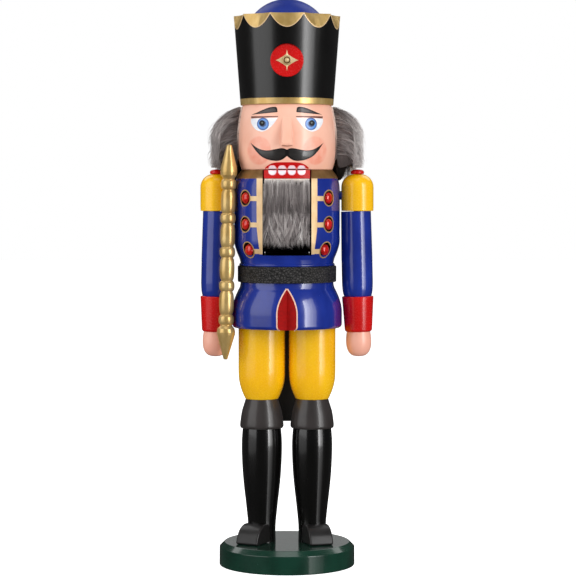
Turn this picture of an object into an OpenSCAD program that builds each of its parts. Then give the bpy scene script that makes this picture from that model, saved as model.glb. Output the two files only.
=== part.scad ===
// Standing king nutcracker, turned in wood and joined with dowels.
// Its jaw is the front end of a lever that turns on a pin in the body, and leaves
// the back as a long tail board: lift the tail and the jaw drops.
// The figure faces -Y, stands on z = 0, and holds its sceptre in the hand at -X.

/* [Base] */
// Radius of the base disc
base_r = 46.8; // [44:0.1:55]
// Height of the base disc
base_h = 16; // [14:0.5:20]
// Width of the bevel round the top of the base
base_bevel = 3.5; // [1:0.5:6]

/* [Legs] */
// Distance of each leg from the centre line
leg_x = 17.4; // [17:0.1:18.5]
// Height of a boot with its cuff
boot_h = 99; // [95:0.5:103]
// Height of the cuff at the top of a boot
cuff_h = 20; // [16:0.1:22]
// Radius of the boot at the ankle
ankle_r = 9.6; // [8.5:0.1:10.5]
// Radius of the boot at the calf
calf_r = 14; // [12:0.1:14.5]
// Radius of the cuff's lower edge
cuff_r = 15.1; // [14.6:0.1:16]
// Radius where the leg narrows at the knee
knee_r = 11.1; // [9:0.1:12]
// Radius of a trouser leg
trouser_r = 16.1; // [15:0.1:16.6]
// Length of a trouser leg
trouser_h = 49.5; // [45:0.5:55]
// Width of a toe cap
toe_w = 16.8; // [14:0.1:18.5]
// Reach of a toe cap from the middle of the leg
toe_reach = 22.5; // [18:0.5:24]
// Height of a toe cap where it meets the boot
toe_h = 13; // [11:0.5:17]
// Angle that the toe at -X turns outwards
toe_turn_right = 28; // [0:1:40]
// Angle that the toe at +X turns outwards
toe_turn_left = 17; // [0:1:40]

/* [Body] */
// Height of the body from its hem to the neck
body_h = 108.5; // [106:0.5:112]
// Radius of the chest
chest_r = 36.4; // [36:0.1:36.8]
// Radius of the skirt
skirt_r = 37.9; // [37:0.1:38.2]
// Radius of the waist under the belt
waist_r = 32.1; // [31:0.1:32.6]
// Width of the belt
belt_w = 11.1; // [9:0.1:12]
// Thickness of the belt leather
belt_t = 2; // [1:0.1:2.4]
// Width of the slot's front, round the jaw
slot_w = 33; // [32:0.5:34]
// Width of the slot's back, which guides the tail board
slot_back_w = 31.6; // [31.4:0.1:31.8]
// Height of the slot's floor above the hem
slot_floor = 50.5; // [50:0.5:52]
// Angle of each side of the notch in the skirt's front
notch_angle = 54; // [40:1:58]

/* [Lever] */
// Thickness of the lever board
lever_w = 31; // [30:0.1:31.4]
// Height of the pivot above the slot's floor
pivot_rise = 15; // [14.5:0.1:16]
// Radius of the pivot pin
pin_r = 3; // [2.5:0.1:3.5]
// Clearance of the lever's bore round the pin
pin_clearance = 0.05; // [0.02:0.01:0.1]
// Distance from the pivot back to the tail board
tail_reach = 39.8; // [39.4:0.1:42]
// Thickness of the tail board
tail_t = 6.7; // [5:0.1:8]
// Length of the tail board below the pivot
tail_drop = 135; // [110:1:150]
// Angle that the jaw drops when it is wide open
jaw_swing = 30; // [25:1:30]

/* [Head] */
// Height of the head
head_h = 44.3; // [42:0.1:46]
// Radius of the head at its widest
head_r = 34.1; // [33:0.1:34.3]
// Height of the crown from the brow to its rim
crown_h = 61; // [58:0.5:64]
// Radius of the crown at the brow
brow_r = 31.9; // [31:0.1:33]
// Radius of the crown at its rim
rim_r = 36.5; // [36:0.1:37.5]
// Number of flutes cut round the rim
flutes = 10; // [8:1:12]
// Height of a flute below the rim
flute_h = 9.2; // [8:0.1:12]
// Radius of the round dome inside the crown
dome_r = 30; // [28:0.5:30.5]
// Height of the dome above the rim
dome_rise = 11.7; // [8:0.1:14]
// Radius of the badge on the crown
badge_r = 11.2; // [9:0.1:13]

/* [Arms] */
// Distance of a shoulder from the centre line
shoulder_x = 48.5; // [48.3:0.1:49.5]
// Radius of an epaulette
epaulette_r = 11.1; // [11:0.1:11.4]
// Radius of a sleeve
sleeve_r = 10.7; // [10:0.1:10.8]
// Radius of a cuff's upper edge
wrist_r = 11.3; // [10.8:0.1:11.4]
// Radius of a hand
hand_r = 8.7; // [8:0.1:9.4]
// Angle that an arm leans outwards below the epaulette
arm_lean = 1.3; // [1:0.1:1.6]

/* [Sceptre] */
// Length of the sceptre
sceptre_h = 147.3; // [140:0.1:152]
// Radius of the sceptre's beads
bead_r = 5.3; // [4:0.1:5.4]
// Angle that the sceptre leans outwards at its foot
sceptre_lean = 1.09; // [0.8:0.01:1.3]

/* [Hidden] */

$fn = 96;
LEFT = 1;
RIGHT = -1;
GAP = 0.05;                                  // slack of a glued dowel in its hole
CUT = 1;                                     // how far a cutter overshoots a face

// heights of the joints between the turned pieces
knee_z = base_h + boot_h;
hip_z = knee_z + trouser_h;
neck_z = hip_z + body_h;
brow_z = neck_z + head_h;
rim_z = brow_z + crown_h;
floor_z = hip_z + slot_floor;
pivot_z = floor_z + pivot_rise;

// dowels
dowel_r = 3;
dowel_h = 20;
crown_dowel_r = 4;
neck_dowel_x = 24;
shoulder_dowel_z = hip_z + 91;
plug_r = 4;
plug_x = 30;
plug_end = chest_r - 0.7;

// how far behind the pivot the slot's wide front reaches
slot_front_depth = 12;

// belt, and the rolled edge of the coat above it
belt_z = hip_z + 31.6;
waist_roll_z = 43.6;
waist_roll_r = 0.8;

// buttons: rows above the hem, and how far round from the front they sit
button_rows = [89.3, 71.5, 54.2];
button_turns = [51.5, 51.5, 48];
button_r = 3.9;
recess_r = 4.9;
recess_depth = [1.2, 1.2, 0.4];
button_stem_r = 1.5;
button_stem_h = 7;

// lever, measured from the pivot as [y, z]
lip_z = neck_z - pivot_z - 0.3;
jaw_front = -35.5;
hub_r = 13.5;
beard_t = 4.6;
beard_z = [221, 266.5];
beard_w = 30.4;

// crown
wall_top_r = 31.2;
dome_z = rim_z + dome_rise - dome_r;
recess_z = dome_z - 6.7;
flute_depth = 4;
badge_z = rim_z - 31.9;
badge_back_y = -31;
badge_t = 2.2;
star_t = 1.1;
star_reach = 7.5;

// arms
epaulette_h = 25.3;
shoulder_top = hip_z + 105.7;
sleeve_z = shoulder_top - epaulette_h;
sleeve_x = 47.5;
sleeve_h = 58.9;
wrist_h = 24.5;
hand_h = 17.2;

// sceptre
sceptre_top = [-39.3, -15, 290.6];
bead_pitch = 23.1;
bead_first = 27.3;
bead_count = 5;
neck_r = 3.9;

function arc(centre, r, from, to, steps = 8) =
    [for (i = [0:steps]) let (a = from + (to - from) * i / steps)
        centre + r * [cos(a), sin(a)]];
// one bead of a turned stick, from its lower neck to its upper neck
function bead(z, half_h, r, steps = 8) =
    [for (i = [0:steps]) let (t = -1 + 2 * i / steps)
        [neck_r + (r - neck_r) * sqrt(max(0, 1 - t * t)), z + half_h * t]];
function crown_wall(z) = brow_r + (rim_r - brow_r) * (z - brow_z) / crown_h;

module turned(profile) {
    rotate_extrude() polygon(profile);
}
module at_leg(side) {
    translate([side * leg_x, 0, 0]) children();
}
module pair(x) {
    for (side = [RIGHT, LEFT]) translate([side * x, 0, 0]) children();
}
// an upright dowel centred on height z, and the hole that takes it
module dowel(z, r = dowel_r, slack = 0) {
    translate([0, 0, z - dowel_h / 2 - slack])
        cylinder(r = r + slack, h = dowel_h + 2 * slack);
}
module along_x(r, from, to) {
    translate([from, 0, 0]) rotate([0, 90, 0]) cylinder(r = r, h = to - from);
}

// ---- base and legs ----
module base() {
    color("darkgreen") difference() {
        turned([[0, 0], [base_r - 0.8, 0], [base_r, 0.8], [base_r, base_h - base_bevel],
            [base_r - base_bevel, base_h], [0, base_h]]);
        pair(leg_x) dowel(base_h, slack = GAP);
    }
}
module base_dowels() {
    color("burlywood") pair(leg_x) dowel(base_h);
}
module boot_solid() {
    cuff_z = knee_z - cuff_h;
    calf_z = knee_z - 31;
    turned(concat(
        [[0, base_h], [ankle_r, base_h], [ankle_r, base_h + 13]],
        arc([calf_r - 200, calf_z], 200, -12, 2.6),
        [[calf_r - 0.9, cuff_z], [cuff_r - 0.4, cuff_z]],
        arc([cuff_r - 19, cuff_z + 2.5], 19, 0, 40),
        [[knee_r, knee_z], [0, knee_z]]));
}
module boot(side) {
    color("black") difference() {
        at_leg(side) boot_solid();
        at_leg(side) dowel(base_h, slack = GAP);
        at_leg(side) dowel(knee_z, slack = GAP);
    }
}
module boot_left() { boot(LEFT); }
module boot_right() { boot(RIGHT); }
// a quarter-round wedge in front of the boot, with flat sides
module toe(side, turn) {
    color("black") difference() {
        at_leg(side) rotate([0, 0, side * turn]) translate([toe_w / 2, 0, base_h])
            rotate([90, 0, -90]) linear_extrude(toe_w)
            polygon(concat([[0, 0]], arc([toe_reach - 1.5, 1.5], 1.5, -90, 12, 3),
                arc([toe_reach - toe_h, 0.5], toe_h - 0.5, 25, 90), [[0, toe_h]]));
        at_leg(side) boot_solid();
    }
}
module toe_left() { toe(LEFT, toe_turn_left); }
module toe_right() { toe(RIGHT, toe_turn_right); }
module knee_dowels() {
    color("burlywood") pair(leg_x) dowel(knee_z);
}
module trouser(side) {
    color("gold") difference() {
        at_leg(side) turned(concat([[0, knee_z], [knee_r, knee_z]],
            arc([trouser_r - 12.5, knee_z + 14.5], 12.5, -48, 0),
            [[trouser_r, hip_z], [0, hip_z]]));
        at_leg(side) dowel(knee_z, slack = GAP);
        at_leg(side) dowel(hip_z, slack = GAP);
    }
}
module trouser_left() { trouser(LEFT); }
module trouser_right() { trouser(RIGHT); }
module hip_dowels() {
    color("burlywood") pair(leg_x) dowel(hip_z);
}

// ---- body ----
module torso_blank() {
    translate([0, 0, hip_z]) turned(concat(
        [[0, 0]],
        arc([skirt_r - 2.5, 2.5], 2.5, -90, 0, 3),
        arc([skirt_r - 24, 12], 24, 0, 40, 6),
        [[waist_r, 29.5], [waist_r, waist_roll_z - waist_roll_r]],
        arc([waist_r + 0.1, waist_roll_z], waist_roll_r, -90, 90, 4),
        [[waist_r, waist_roll_z + waist_roll_r], [waist_r, 45.2]],
        arc([chest_r - 14, 60], 14, -40, 0, 5),
        arc([chest_r - 20, body_h - 13.5], 20, 0, 42.45, 5),
        [[0, body_h]]));
}
module at_button(side, row) {
    translate([0, 0, hip_z + button_rows[row]]) rotate([0, 0, side * button_turns[row]])
        rotate([90, 0, 0]) children();
}
function recess_floor(row) = chest_r - recess_depth[row] - (row == 2 ? 2.2 : 0);
module torso() {
    color("mediumblue") difference() {
        torso_blank();
        // slot for the lever, open at the top, the front and the back, and narrower at the back
        translate([0, 0, floor_z]) linear_extrude(body_h) {
            front = -chest_r - CUT;
            polygon([[-slot_w / 2, front], [slot_w / 2, front], [slot_w / 2, slot_front_depth],
                [slot_back_w / 2, slot_front_depth], [slot_back_w / 2, -front],
                [-slot_back_w / 2, -front], [-slot_back_w / 2, slot_front_depth],
                [-slot_w / 2, slot_front_depth]]);
        }
        translate([0, 0, pivot_z]) along_x(pin_r + 0.03, -chest_r, chest_r);
        pair(0) for (side = [RIGHT, LEFT]) translate([side * (plug_x + chest_r) / 2, 0, pivot_z])
            along_x(plug_r + GAP, -(chest_r - plug_x) / 2, (chest_r - plug_x) / 2);
        pair(leg_x) dowel(hip_z, slack = GAP);
        pair(neck_dowel_x) dowel(neck_z, slack = GAP);
        pair(0) translate([0, 0, shoulder_dowel_z]) for (side = [RIGHT, LEFT])
            translate([side * 32, 0, 0]) along_x(dowel_r + GAP, -8 - GAP, 8);
        for (side = [RIGHT, LEFT], row = [0:2]) at_button(side, row) {
            translate([0, 0, recess_floor(row)]) cylinder(r = recess_r, h = 8);
            translate([0, 0, recess_floor(row) - button_stem_h - GAP])
                cylinder(r = button_stem_r + GAP, h = 8);
        }
        // notch in the skirt's front: a vertical crease with two flat sides
        translate([0, -waist_r - 0.6, hip_z - CUT]) linear_extrude(31)
            polygon([[0, 0], [-10 * tan(notch_angle), -10], [10 * tan(notch_angle), -10]]);
    }
}
module belt() {
    color("black") translate([0, 0, belt_z]) difference() {
        cylinder(r = waist_r + belt_t, h = belt_w);
        translate([0, 0, -CUT]) cylinder(r = waist_r, h = belt_w + 2 * CUT);
    }
}
module buttons(side) {
    color("red") for (row = [0:2]) at_button(side, row)
        translate([0, 0, recess_floor(row)]) {
            translate([0, 0, -button_stem_h]) cylinder(r = button_stem_r, h = button_stem_h + 0.5);
            intersection() {
                cylinder(r = button_r, h = 5);
                translate([0, 0, -3]) sphere(r = 5.4);
            }
        }
}
module buttons_left() { buttons(LEFT); }
module buttons_right() { buttons(RIGHT); }
module pivot_pin() {
    color("silver") translate([0, 0, pivot_z]) along_x(pin_r, -plug_x, plug_x);
}
module pin_plugs() {
    color("mediumblue") translate([0, 0, pivot_z]) {
        along_x(plug_r, plug_x, plug_end);
        along_x(plug_r, -plug_end, -plug_x);
    }
}

// ---- lever and beard ----
// side view of the lever: lip, nut recess, shoulder, tail board, hub, chin
module lever_outline() {
    chin = [-hub_r * sin(jaw_swing), -hub_r * cos(jaw_swing)];
    reach = chin[0] - jaw_front + CUT;
    polygon(concat(
        [[jaw_front - CUT, lip_z], [-27, lip_z], [-23, 32], [16, 30], [38, 22],
         [tail_reach + tail_t, 5], [tail_reach + tail_t, -tail_drop], [tail_reach, -tail_drop],
         [tail_reach, -hub_r + 1]],
        arc([0, 0], hub_r, -86, -90 - jaw_swing),
        [[jaw_front - CUT, chin[1] + reach * tan(jaw_swing)]]));
}
module lever() {
    tail_bottom = pivot_z - tail_drop;
    color("black") difference() {
        translate([-lever_w / 2, 0, pivot_z]) rotate([90, 0, 90])
            linear_extrude(lever_w) lever_outline();
        translate([0, 0, pivot_z]) along_x(pin_r + pin_clearance, -lever_w, lever_w);
        // the jaw's front follows the chest
        difference() {
            translate([-lever_w, -2 * lever_w, floor_z]) cube([2 * lever_w, 2 * lever_w, body_h]);
            translate([0, 0, floor_z - CUT]) cylinder(r = -jaw_front, h = body_h);
        }
        // round lower corners of the tail board
        for (side = [RIGHT, LEFT]) translate([side * (lever_w / 2 - 6), 0, tail_bottom + 6])
            rotate([-90, 0, 0]) difference() {
                translate([side > 0 ? 0 : -7, 0, 0]) cube([7, 7, 60]);
                translate([0, 0, -CUT]) cylinder(r = 6, h = 62);
            }
    }
}
module beard() {
    color("gray") intersection() {
        difference() {
            translate([0, 0, beard_z[0]]) cylinder(r = -jaw_front + beard_t,
                h = beard_z[1] - beard_z[0]);
            translate([0, 0, beard_z[0] - CUT]) cylinder(r = -jaw_front + 0.02, h = 60);
        }
        translate([-beard_w / 2, -60, 0]) cube([beard_w, 60, neck_z]);
    }
}

// ---- head ----
module neck_dowels() {
    color("burlywood") pair(neck_dowel_x) dowel(neck_z);
}
module head_blank() {
    translate([0, 0, neck_z]) turned(concat(
        [[0, 0]],
        arc([head_r - 4, 3], 3, -90, 0, 4),
        arc([head_r - 113, 16], 113, -6.6, 14.5),
        [[0, head_h]]));
}
module head() {
    color("peachpuff") difference() {
        head_blank();
        pair(neck_dowel_x) dowel(neck_z, slack = GAP);
        dowel(brow_z, r = crown_dowel_r, slack = GAP);
    }
}
module nose() {
    color("peachpuff") difference() {
        intersection() {
            translate([0, 0, neck_z]) linear_extrude(head_h)
                polygon([[-5, -26], [-3.1, -44], [3.1, -44], [5, -26]]);
            translate([-10, 0, neck_z]) rotate([90, 0, 90]) linear_extrude(20)
                polygon([[-28, 16.3], [-40.5, 16.3], [-41.5, 17.6], [-41.2, 19.5],
                    [-33.6, 35], [-28, 36.5]]);
        }
        head_blank();
    }
}
// one fur strip round the sides and back of the head
module hair() {
    start = 78;
    color("gray") translate([0, 0, neck_z]) rotate([0, 0, start - 90])
        rotate_extrude(angle = 360 - 2 * start)
        polygon([[34.5, 1.2], [50, 1.2], [53.5, 7], [53.5, 26], [50, 31], [45.8, 36.7],
            [37.5, 42], [31.3, 43.8], [34.5, 27]]);
}

// ---- crown ----
module crown_dowel() {
    color("burlywood") dowel(brow_z, r = crown_dowel_r);
}
module flute_cutters() {
    half = rim_r * sin(180 / flutes);
    side_depth = flute_depth - (rim_r - rim_r * cos(180 / flutes));
    cutter_r = (half * half + side_depth * side_depth) / (2 * side_depth);
    lean = atan((crown_wall(rim_z - flute_h) - rim_r + flute_depth) / flute_h);
    top_y = rim_r - flute_depth + cutter_r / cos(lean);
    for (i = [0:flutes - 1]) rotate([0, 0, i * 360 / flutes])
        translate([0, -top_y, rim_z]) rotate([-lean, 0, 0])
            cylinder(r = cutter_r, h = 3 * flute_h, center = true);
}
module crown() {
    color("black") difference() {
        turned([[0, brow_z], [brow_r, brow_z], [rim_r, rim_z], [wall_top_r, rim_z],
            [wall_top_r - 0.4, recess_z], [0, recess_z]]);
        flute_cutters();
        dowel(brow_z, r = crown_dowel_r, slack = GAP);
        translate([0, badge_back_y, badge_z]) rotate([90, 0, 0]) {
            cylinder(r = badge_r + GAP, h = 10);
            translate([0, 0, -6 - GAP]) cylinder(r = 0.85, h = 8);
        }
    }
}
module crown_dome() {
    color("blue") intersection() {
        translate([0, 0, dome_z]) sphere(r = dome_r);
        translate([-dome_r, -dome_r, recess_z]) cube([2 * dome_r, 2 * dome_r, 2 * dome_r]);
    }
}
module at_badge() {
    translate([0, badge_back_y, badge_z]) rotate([90, 0, 0]) children();
}
module crown_badge() {
    color("red") at_badge() difference() {
        cylinder(r = badge_r, h = badge_t);
        translate([0, 0, -CUT]) cylinder(r = 0.85, h = badge_t + 2 * CUT);
    }
}
// a plain four-pointed star with a round boss
module crown_star() {
    color("goldenrod") at_badge() translate([0, 0, badge_t]) difference() {
        union() {
            linear_extrude(star_t) for (a = [0, 90]) rotate(a)
                polygon([[star_reach, 0], [2.4, 1.9], [-2.4, 1.9], [-star_reach, 0],
                    [-2.4, -1.9], [2.4, -1.9]]);
            cylinder(r = 3.1, h = star_t + 0.5);
        }
        translate([0, 0, -CUT]) cylinder(r = 0.85, h = 5);
    }
}
module star_pin() {
    head_at = badge_t + star_t + 0.5;
    color("goldenrod") at_badge() {
        translate([0, 0, -6]) cylinder(r = 0.8, h = 6 + head_at + 0.3);
        intersection() {
            translate([0, 0, head_at]) cylinder(r = 1.7, h = 2);
            translate([0, 0, head_at - 0.8]) sphere(r = 1.9);
        }
    }
}

// ---- arms ----
// below the epaulette an arm is laid out along its own leaning axis, z = 0 at the sleeve's top
module along_arm(side) {
    translate([side * sleeve_x, 0, sleeve_z]) rotate([0, -side * arm_lean, 0]) children();
}
module shoulder_hole(side, slack = 0) {
    translate([side * 33, 0, shoulder_dowel_z]) along_x(dowel_r + slack, -9 - slack, 9 + slack);
}
module shoulder_dowels() {
    color("burlywood") for (side = [RIGHT, LEFT]) shoulder_hole(side);
}
module arm_dowel(side, slack = 0) {
    translate([side * shoulder_x, 0, sleeve_z - 10 - slack])
        cylinder(r = 2.5 + slack, h = 16 + 2 * slack);
}
module arm_dowels() {
    color("burlywood") for (side = [RIGHT, LEFT]) arm_dowel(side);
}
module wrist_dowel(side, slack = 0) {
    along_arm(side) translate([0, 0, -sleeve_h - wrist_h - 8 - slack])
        cylinder(r = 2.5 + slack, h = wrist_h + 18 + 2 * slack);
}
module wrist_dowels() {
    color("burlywood") for (side = [RIGHT, LEFT]) wrist_dowel(side);
}
module epaulette(side) {
    color("gold") difference() {
        translate([side * shoulder_x, 0, sleeve_z]) turned(concat(
            [[0, 0], [epaulette_r - 0.4, 0], [epaulette_r, 0.6]],
            arc([epaulette_r - 9, epaulette_h - 9], 9, 0, 90),
            [[0, epaulette_h]]));
        shoulder_hole(side, slack = GAP);
        arm_dowel(side, slack = GAP);
    }
}
module epaulette_left() { epaulette(LEFT); }
module epaulette_right() { epaulette(RIGHT); }
module shoulder_cap(side) {
    color("red") translate([side * shoulder_x, 0, shoulder_top])
        turned([[0, 0], [4.2, 0], [4.6, 0.7], [4.5, 1.9], [3.6, 2.8], [0, 3.2]]);
}
module shoulder_cap_left() { shoulder_cap(LEFT); }
module shoulder_cap_right() { shoulder_cap(RIGHT); }
module sleeve(side) {
    color("mediumblue") difference() {
        along_arm(side) turned(concat(
            [[0, -sleeve_h], [sleeve_r - 1.2, -sleeve_h]],
            arc([sleeve_r - 9, -sleeve_h + 7], 9, -40, 0),
            [[sleeve_r, -35], [sleeve_r - 0.4, -0.35], [0, -0.35]]));
        arm_dowel(side, slack = GAP);
        wrist_dowel(side, slack = GAP);
    }
}
module sleeve_left() { sleeve(LEFT); }
module sleeve_right() { sleeve(RIGHT); }
module cuff(side) {
    color("red") difference() {
        along_arm(side) translate([0, 0, -sleeve_h - wrist_h]) turned(concat(
            [[0, 0]],
            arc([wrist_r - 4, 2.2], 2.2, -90, -10, 4),
            [[wrist_r - 0.4, wrist_h - 0.7], [wrist_r - 0.7, wrist_h], [0, wrist_h]]));
        wrist_dowel(side, slack = GAP);
    }
}
module cuff_left() { cuff(LEFT); }
module cuff_right() { cuff(RIGHT); }
module hand(side) {
    centre_z = -sleeve_h - wrist_h - hand_h + hand_r;
    color("peachpuff") difference() {
        along_arm(side) intersection() {
            union() {
                translate([0, 0, centre_z]) sphere(r = hand_r);
                translate([0, 0, centre_z]) cylinder(r = 7, h = hand_h);
            }
            translate([0, 0, -sleeve_h - wrist_h - hand_h]) cylinder(r = hand_r, h = hand_h);
        }
        wrist_dowel(side, slack = GAP);
        if (side == RIGHT) peg(slack = GAP);
    }
}
module hand_left() { hand(LEFT); }
module hand_right() { hand(RIGHT); }

// ---- sceptre ----
module along_sceptre() {
    translate(sceptre_top) rotate([0, sceptre_lean, 0]) translate([0, 0, -sceptre_h]) children();
}
// the peg that joins the sceptre to the hand
module peg(slack = 0) {
    hand_x = -sleeve_x - (sleeve_z - 154) * tan(arm_lean);
    foot_x = sceptre_top[0] - (sceptre_top[2] - 154) * tan(sceptre_lean);
    aim = atan2(sceptre_top[1], foot_x - hand_x);
    translate([hand_x, 0, 154]) rotate([0, 0, aim]) along_x(1.5 + slack, 5.5 - slack, 15 + slack);
}
module sceptre_peg() {
    color("burlywood") peg();
}
module sceptre() {
    foot = 18.7;
    first = bead_first;
    last = first + (bead_count - 1) * bead_pitch;
    color("darkgoldenrod") difference() {
        along_sceptre() turned(concat(
            [[0, 0], [1.2, 0.3], [1.9, 1.4], [5.95, foot - 1.6], [6.4, foot], [6.0, foot + 2.2],
             [neck_r, foot + 4.6]],
            [for (i = [0:bead_count - 1], p = concat(
                bead(first + i * bead_pitch, 3.6, bead_r),
                i < bead_count - 1
                    ? bead(first + (i + 0.5) * bead_pitch, bead_pitch / 2 - 3.8, bead_r) : []))
                p],
            [[5.4, last + 6.2], [5.8, last + 8.6], [5.55, last + 11], [1.6, sceptre_h - 0.8],
             [0, sceptre_h]]));
        peg(slack = GAP);
    }
}

base();
base_dowels();
boot_left();
boot_right();
toe_left();
toe_right();
knee_dowels();
trouser_left();
trouser_right();
hip_dowels();
torso();
belt();
buttons_left();
buttons_right();
pivot_pin();
pin_plugs();
lever();
beard();
neck_dowels();
head();
nose();
hair();
crown_dowel();
crown();
crown_dome();
crown_badge();
crown_star();
star_pin();
shoulder_dowels();
epaulette_left();
epaulette_right();
shoulder_cap_left();
shoulder_cap_right();
arm_dowels();
sleeve_left();
sleeve_right();
cuff_left();
cuff_right();
wrist_dowels();
hand_left();
hand_right();
sceptre();
sceptre_peg();
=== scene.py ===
"""Looks for the standing king nutcracker: turned, lacquered wood, gold paint, fur hair and beard.

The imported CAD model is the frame, and every piece takes its place from it.
Lengths are millimetres until a mesh is made. A profile is a list of (radius, height) points,
and an azimuth is degrees from the figure's front, growing towards its left hand at +X.
"""

from math import asin, atan, copysign, cos, degrees, dist, hypot, pi, radians, sin, sqrt, tan

import bpy
import numpy as np
from mathutils import Matrix, Vector, geometry, noise

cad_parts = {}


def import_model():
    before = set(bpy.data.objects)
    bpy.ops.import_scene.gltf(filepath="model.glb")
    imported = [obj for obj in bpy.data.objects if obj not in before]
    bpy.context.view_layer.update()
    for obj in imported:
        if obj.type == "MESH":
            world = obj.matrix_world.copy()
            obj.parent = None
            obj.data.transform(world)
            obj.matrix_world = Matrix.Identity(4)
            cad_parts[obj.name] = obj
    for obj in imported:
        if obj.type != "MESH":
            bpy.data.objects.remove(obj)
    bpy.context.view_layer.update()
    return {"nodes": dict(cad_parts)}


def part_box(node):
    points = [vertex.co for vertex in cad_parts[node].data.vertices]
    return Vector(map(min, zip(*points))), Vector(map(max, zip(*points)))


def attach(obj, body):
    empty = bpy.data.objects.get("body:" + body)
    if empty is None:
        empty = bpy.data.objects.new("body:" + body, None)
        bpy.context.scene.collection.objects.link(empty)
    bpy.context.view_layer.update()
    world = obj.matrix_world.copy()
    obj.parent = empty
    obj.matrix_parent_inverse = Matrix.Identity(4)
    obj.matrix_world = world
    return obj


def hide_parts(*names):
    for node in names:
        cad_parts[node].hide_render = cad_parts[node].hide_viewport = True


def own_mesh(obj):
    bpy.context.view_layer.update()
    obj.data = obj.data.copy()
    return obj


MM = 0.001
FIGURE = "figure"
LEVER = "lever"
LEFT = 1
RIGHT = -1
SIDES = {"left": LEFT, "right": RIGHT}
PAINT = 0.06
FUR_SEED = 11

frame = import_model()


def low(node):
    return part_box(node)[0] / MM


def high(node):
    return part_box(node)[1] / MM


def middle(node):
    return (low(node) + high(node)) / 2


# ---- driving dimensions, from the frame ----
BASE_R = high("base").x
BASE_Z = high("base").z
LEG_X = middle("trouser_left").x
KNEE_Z = high("boot_left").z
HIP_Z = high("trouser_left").z
NECK_Z = high("torso").z
BROW_Z = high("head").z
RIM_Z = high("crown").z
PIVOT_Z = middle("pivot_pin").z
SLEEVE_Z = low("epaulette_left").z
SHOULDER_X = middle("epaulette_left").x
BELT_LOW = low("belt").z
BELT_HIGH = high("belt").z
WAIST_R = high("belt").x - 2.0
SKIRT_R = high("torso").x
CHEST_R = 36.4
SLOT_W = 33.0
SLOT_BACK_W = 31.6
SLOT_Z = 215.0
NOTCH_ANGLE = 54
RECESS_R = 4.98
HEAD_R = high("head").x
COLLAR_Z = NECK_Z - 6.0
BROW_R = 31.9
RIM_R = 36.5
BAND_Z = BROW_Z + 4.2
JAW_R = -low("lever").y
BUTTON_ROWS = ((253.8, 51.5), (236.0, 51.5), (218.7, 48.0))


# ---- outlines ----
def arc(centre, radius, start, end, steps=8):
    """Points on a circular arc, its angles in degrees."""
    angles = [radians(start + (end - start) * i / steps) for i in range(steps + 1)]
    return [(centre[0] + radius * cos(a), centre[1] + radius * sin(a)) for a in angles]


def rounded(corners, steps=6):
    """A line through corners (a, b) or (a, b, radius), each with a radius turned into an arc."""
    line = []
    for i, corner in enumerate(corners):
        radius = corner[2] if len(corner) == 3 else 0
        here = Vector(corner[:2])
        if not radius or i in (0, len(corners) - 1):
            line.append(tuple(here))
            continue
        back = (Vector(corners[i - 1][:2]) - here).normalized()
        ahead = (Vector(corners[i + 1][:2]) - here).normalized()
        half = back.angle(ahead) / 2
        centre = here + (back + ahead).normalized() * radius / sin(half)
        start = here + back * radius / tan(half) - centre
        turn = start.angle_signed(here + ahead * radius / tan(half) - centre)
        for k in range(steps + 1):
            line.append(tuple(centre + Matrix.Rotation(-turn * k / steps, 2) @ start))
    return line


def smooth(points, steps=6, closed=False):
    """A smooth line through the points."""
    count = len(points)
    spans = count if closed else count - 1
    line = []
    for i in range(spans):
        picks = [i - 1, i, i + 1, i + 2]
        picks = [p % count if closed else min(max(p, 0), count - 1) for p in picks]
        a, b, c, d = [Vector(points[p]) for p in picks]
        for k in range(steps):
            t = k / steps
            p = 2 * b + (c - a) * t + (2 * a - 5 * b + 4 * c - d) * t**2
            line.append(tuple((p + (3 * b - a - 3 * c + d) * t**3) / 2))
    if not closed:
        line.append(tuple(points[-1]))
    return line


def mirrored(outline):
    return [(-a, b) for a, b in reversed(outline)]


def ellipse(centre, half_w, half_h, steps=40):
    return [(centre[0] + half_w * cos(2 * pi * k / steps),
             centre[1] + half_h * sin(2 * pi * k / steps)) for k in range(steps)]


def beside(line, before, after, distance):
    """A line moved to its left, its course at each point taken from the points before and after."""
    made = []
    for point, last, following in zip(line, before, after):
        along = Vector(following) - Vector(last)
        made.append(tuple(Vector(point) + Vector((-along.y, along.x)).normalized() * distance))
    return made


def inset(outline, depth):
    """A closed anticlockwise outline moved inwards."""
    return beside(outline, outline[-1:] + outline[:-1], outline[1:] + outline[:1], depth)


def stripe(line, width):
    """The outline of a band that lies on the left of a line."""
    return line + beside(line, line[:1] + line[:-1], line[1:] + line[-1:], width)[::-1]


def oblong(a_low, b_low, a_high, b_high):
    return [(a_low, b_low), (a_high, b_low), (a_high, b_high), (a_low, b_high)]


def radius_at(profile, z):
    """The widest radius of a profile at height z, or at its end where z is beyond it."""
    z = min(max(z, profile[0][1] + 0.01), profile[-1][1] - 0.01)
    found = 0.0
    for (r0, z0), (r1, z1) in zip(profile, profile[1:]):
        if z0 != z1 and min(z0, z1) <= z <= max(z0, z1):
            found = max(found, r0 + (r1 - r0) * (z - z0) / (z1 - z0))
    return found


def near(r, z, *offsets):
    """Points given by their offsets from a radius and a height."""
    return [(r + a, z + b) for a, b in offsets]


def polar(radius, azimuth, z):
    """A point at a distance from the figure's axis, its azimuth in radians."""
    return Vector((radius * sin(azimuth), -radius * cos(azimuth), z))


def moved(x, y, z):
    return Matrix.Translation((x, y, z))


def spun(turn, axis="Z"):
    """A turn in degrees about an axis."""
    return Matrix.Rotation(radians(turn), 4, axis)


# ---- meshes ----
def placed(name, data):
    """A new object in the scene."""
    made = bpy.data.objects.new(name, data)
    bpy.context.scene.collection.objects.link(made)
    return made


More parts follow.
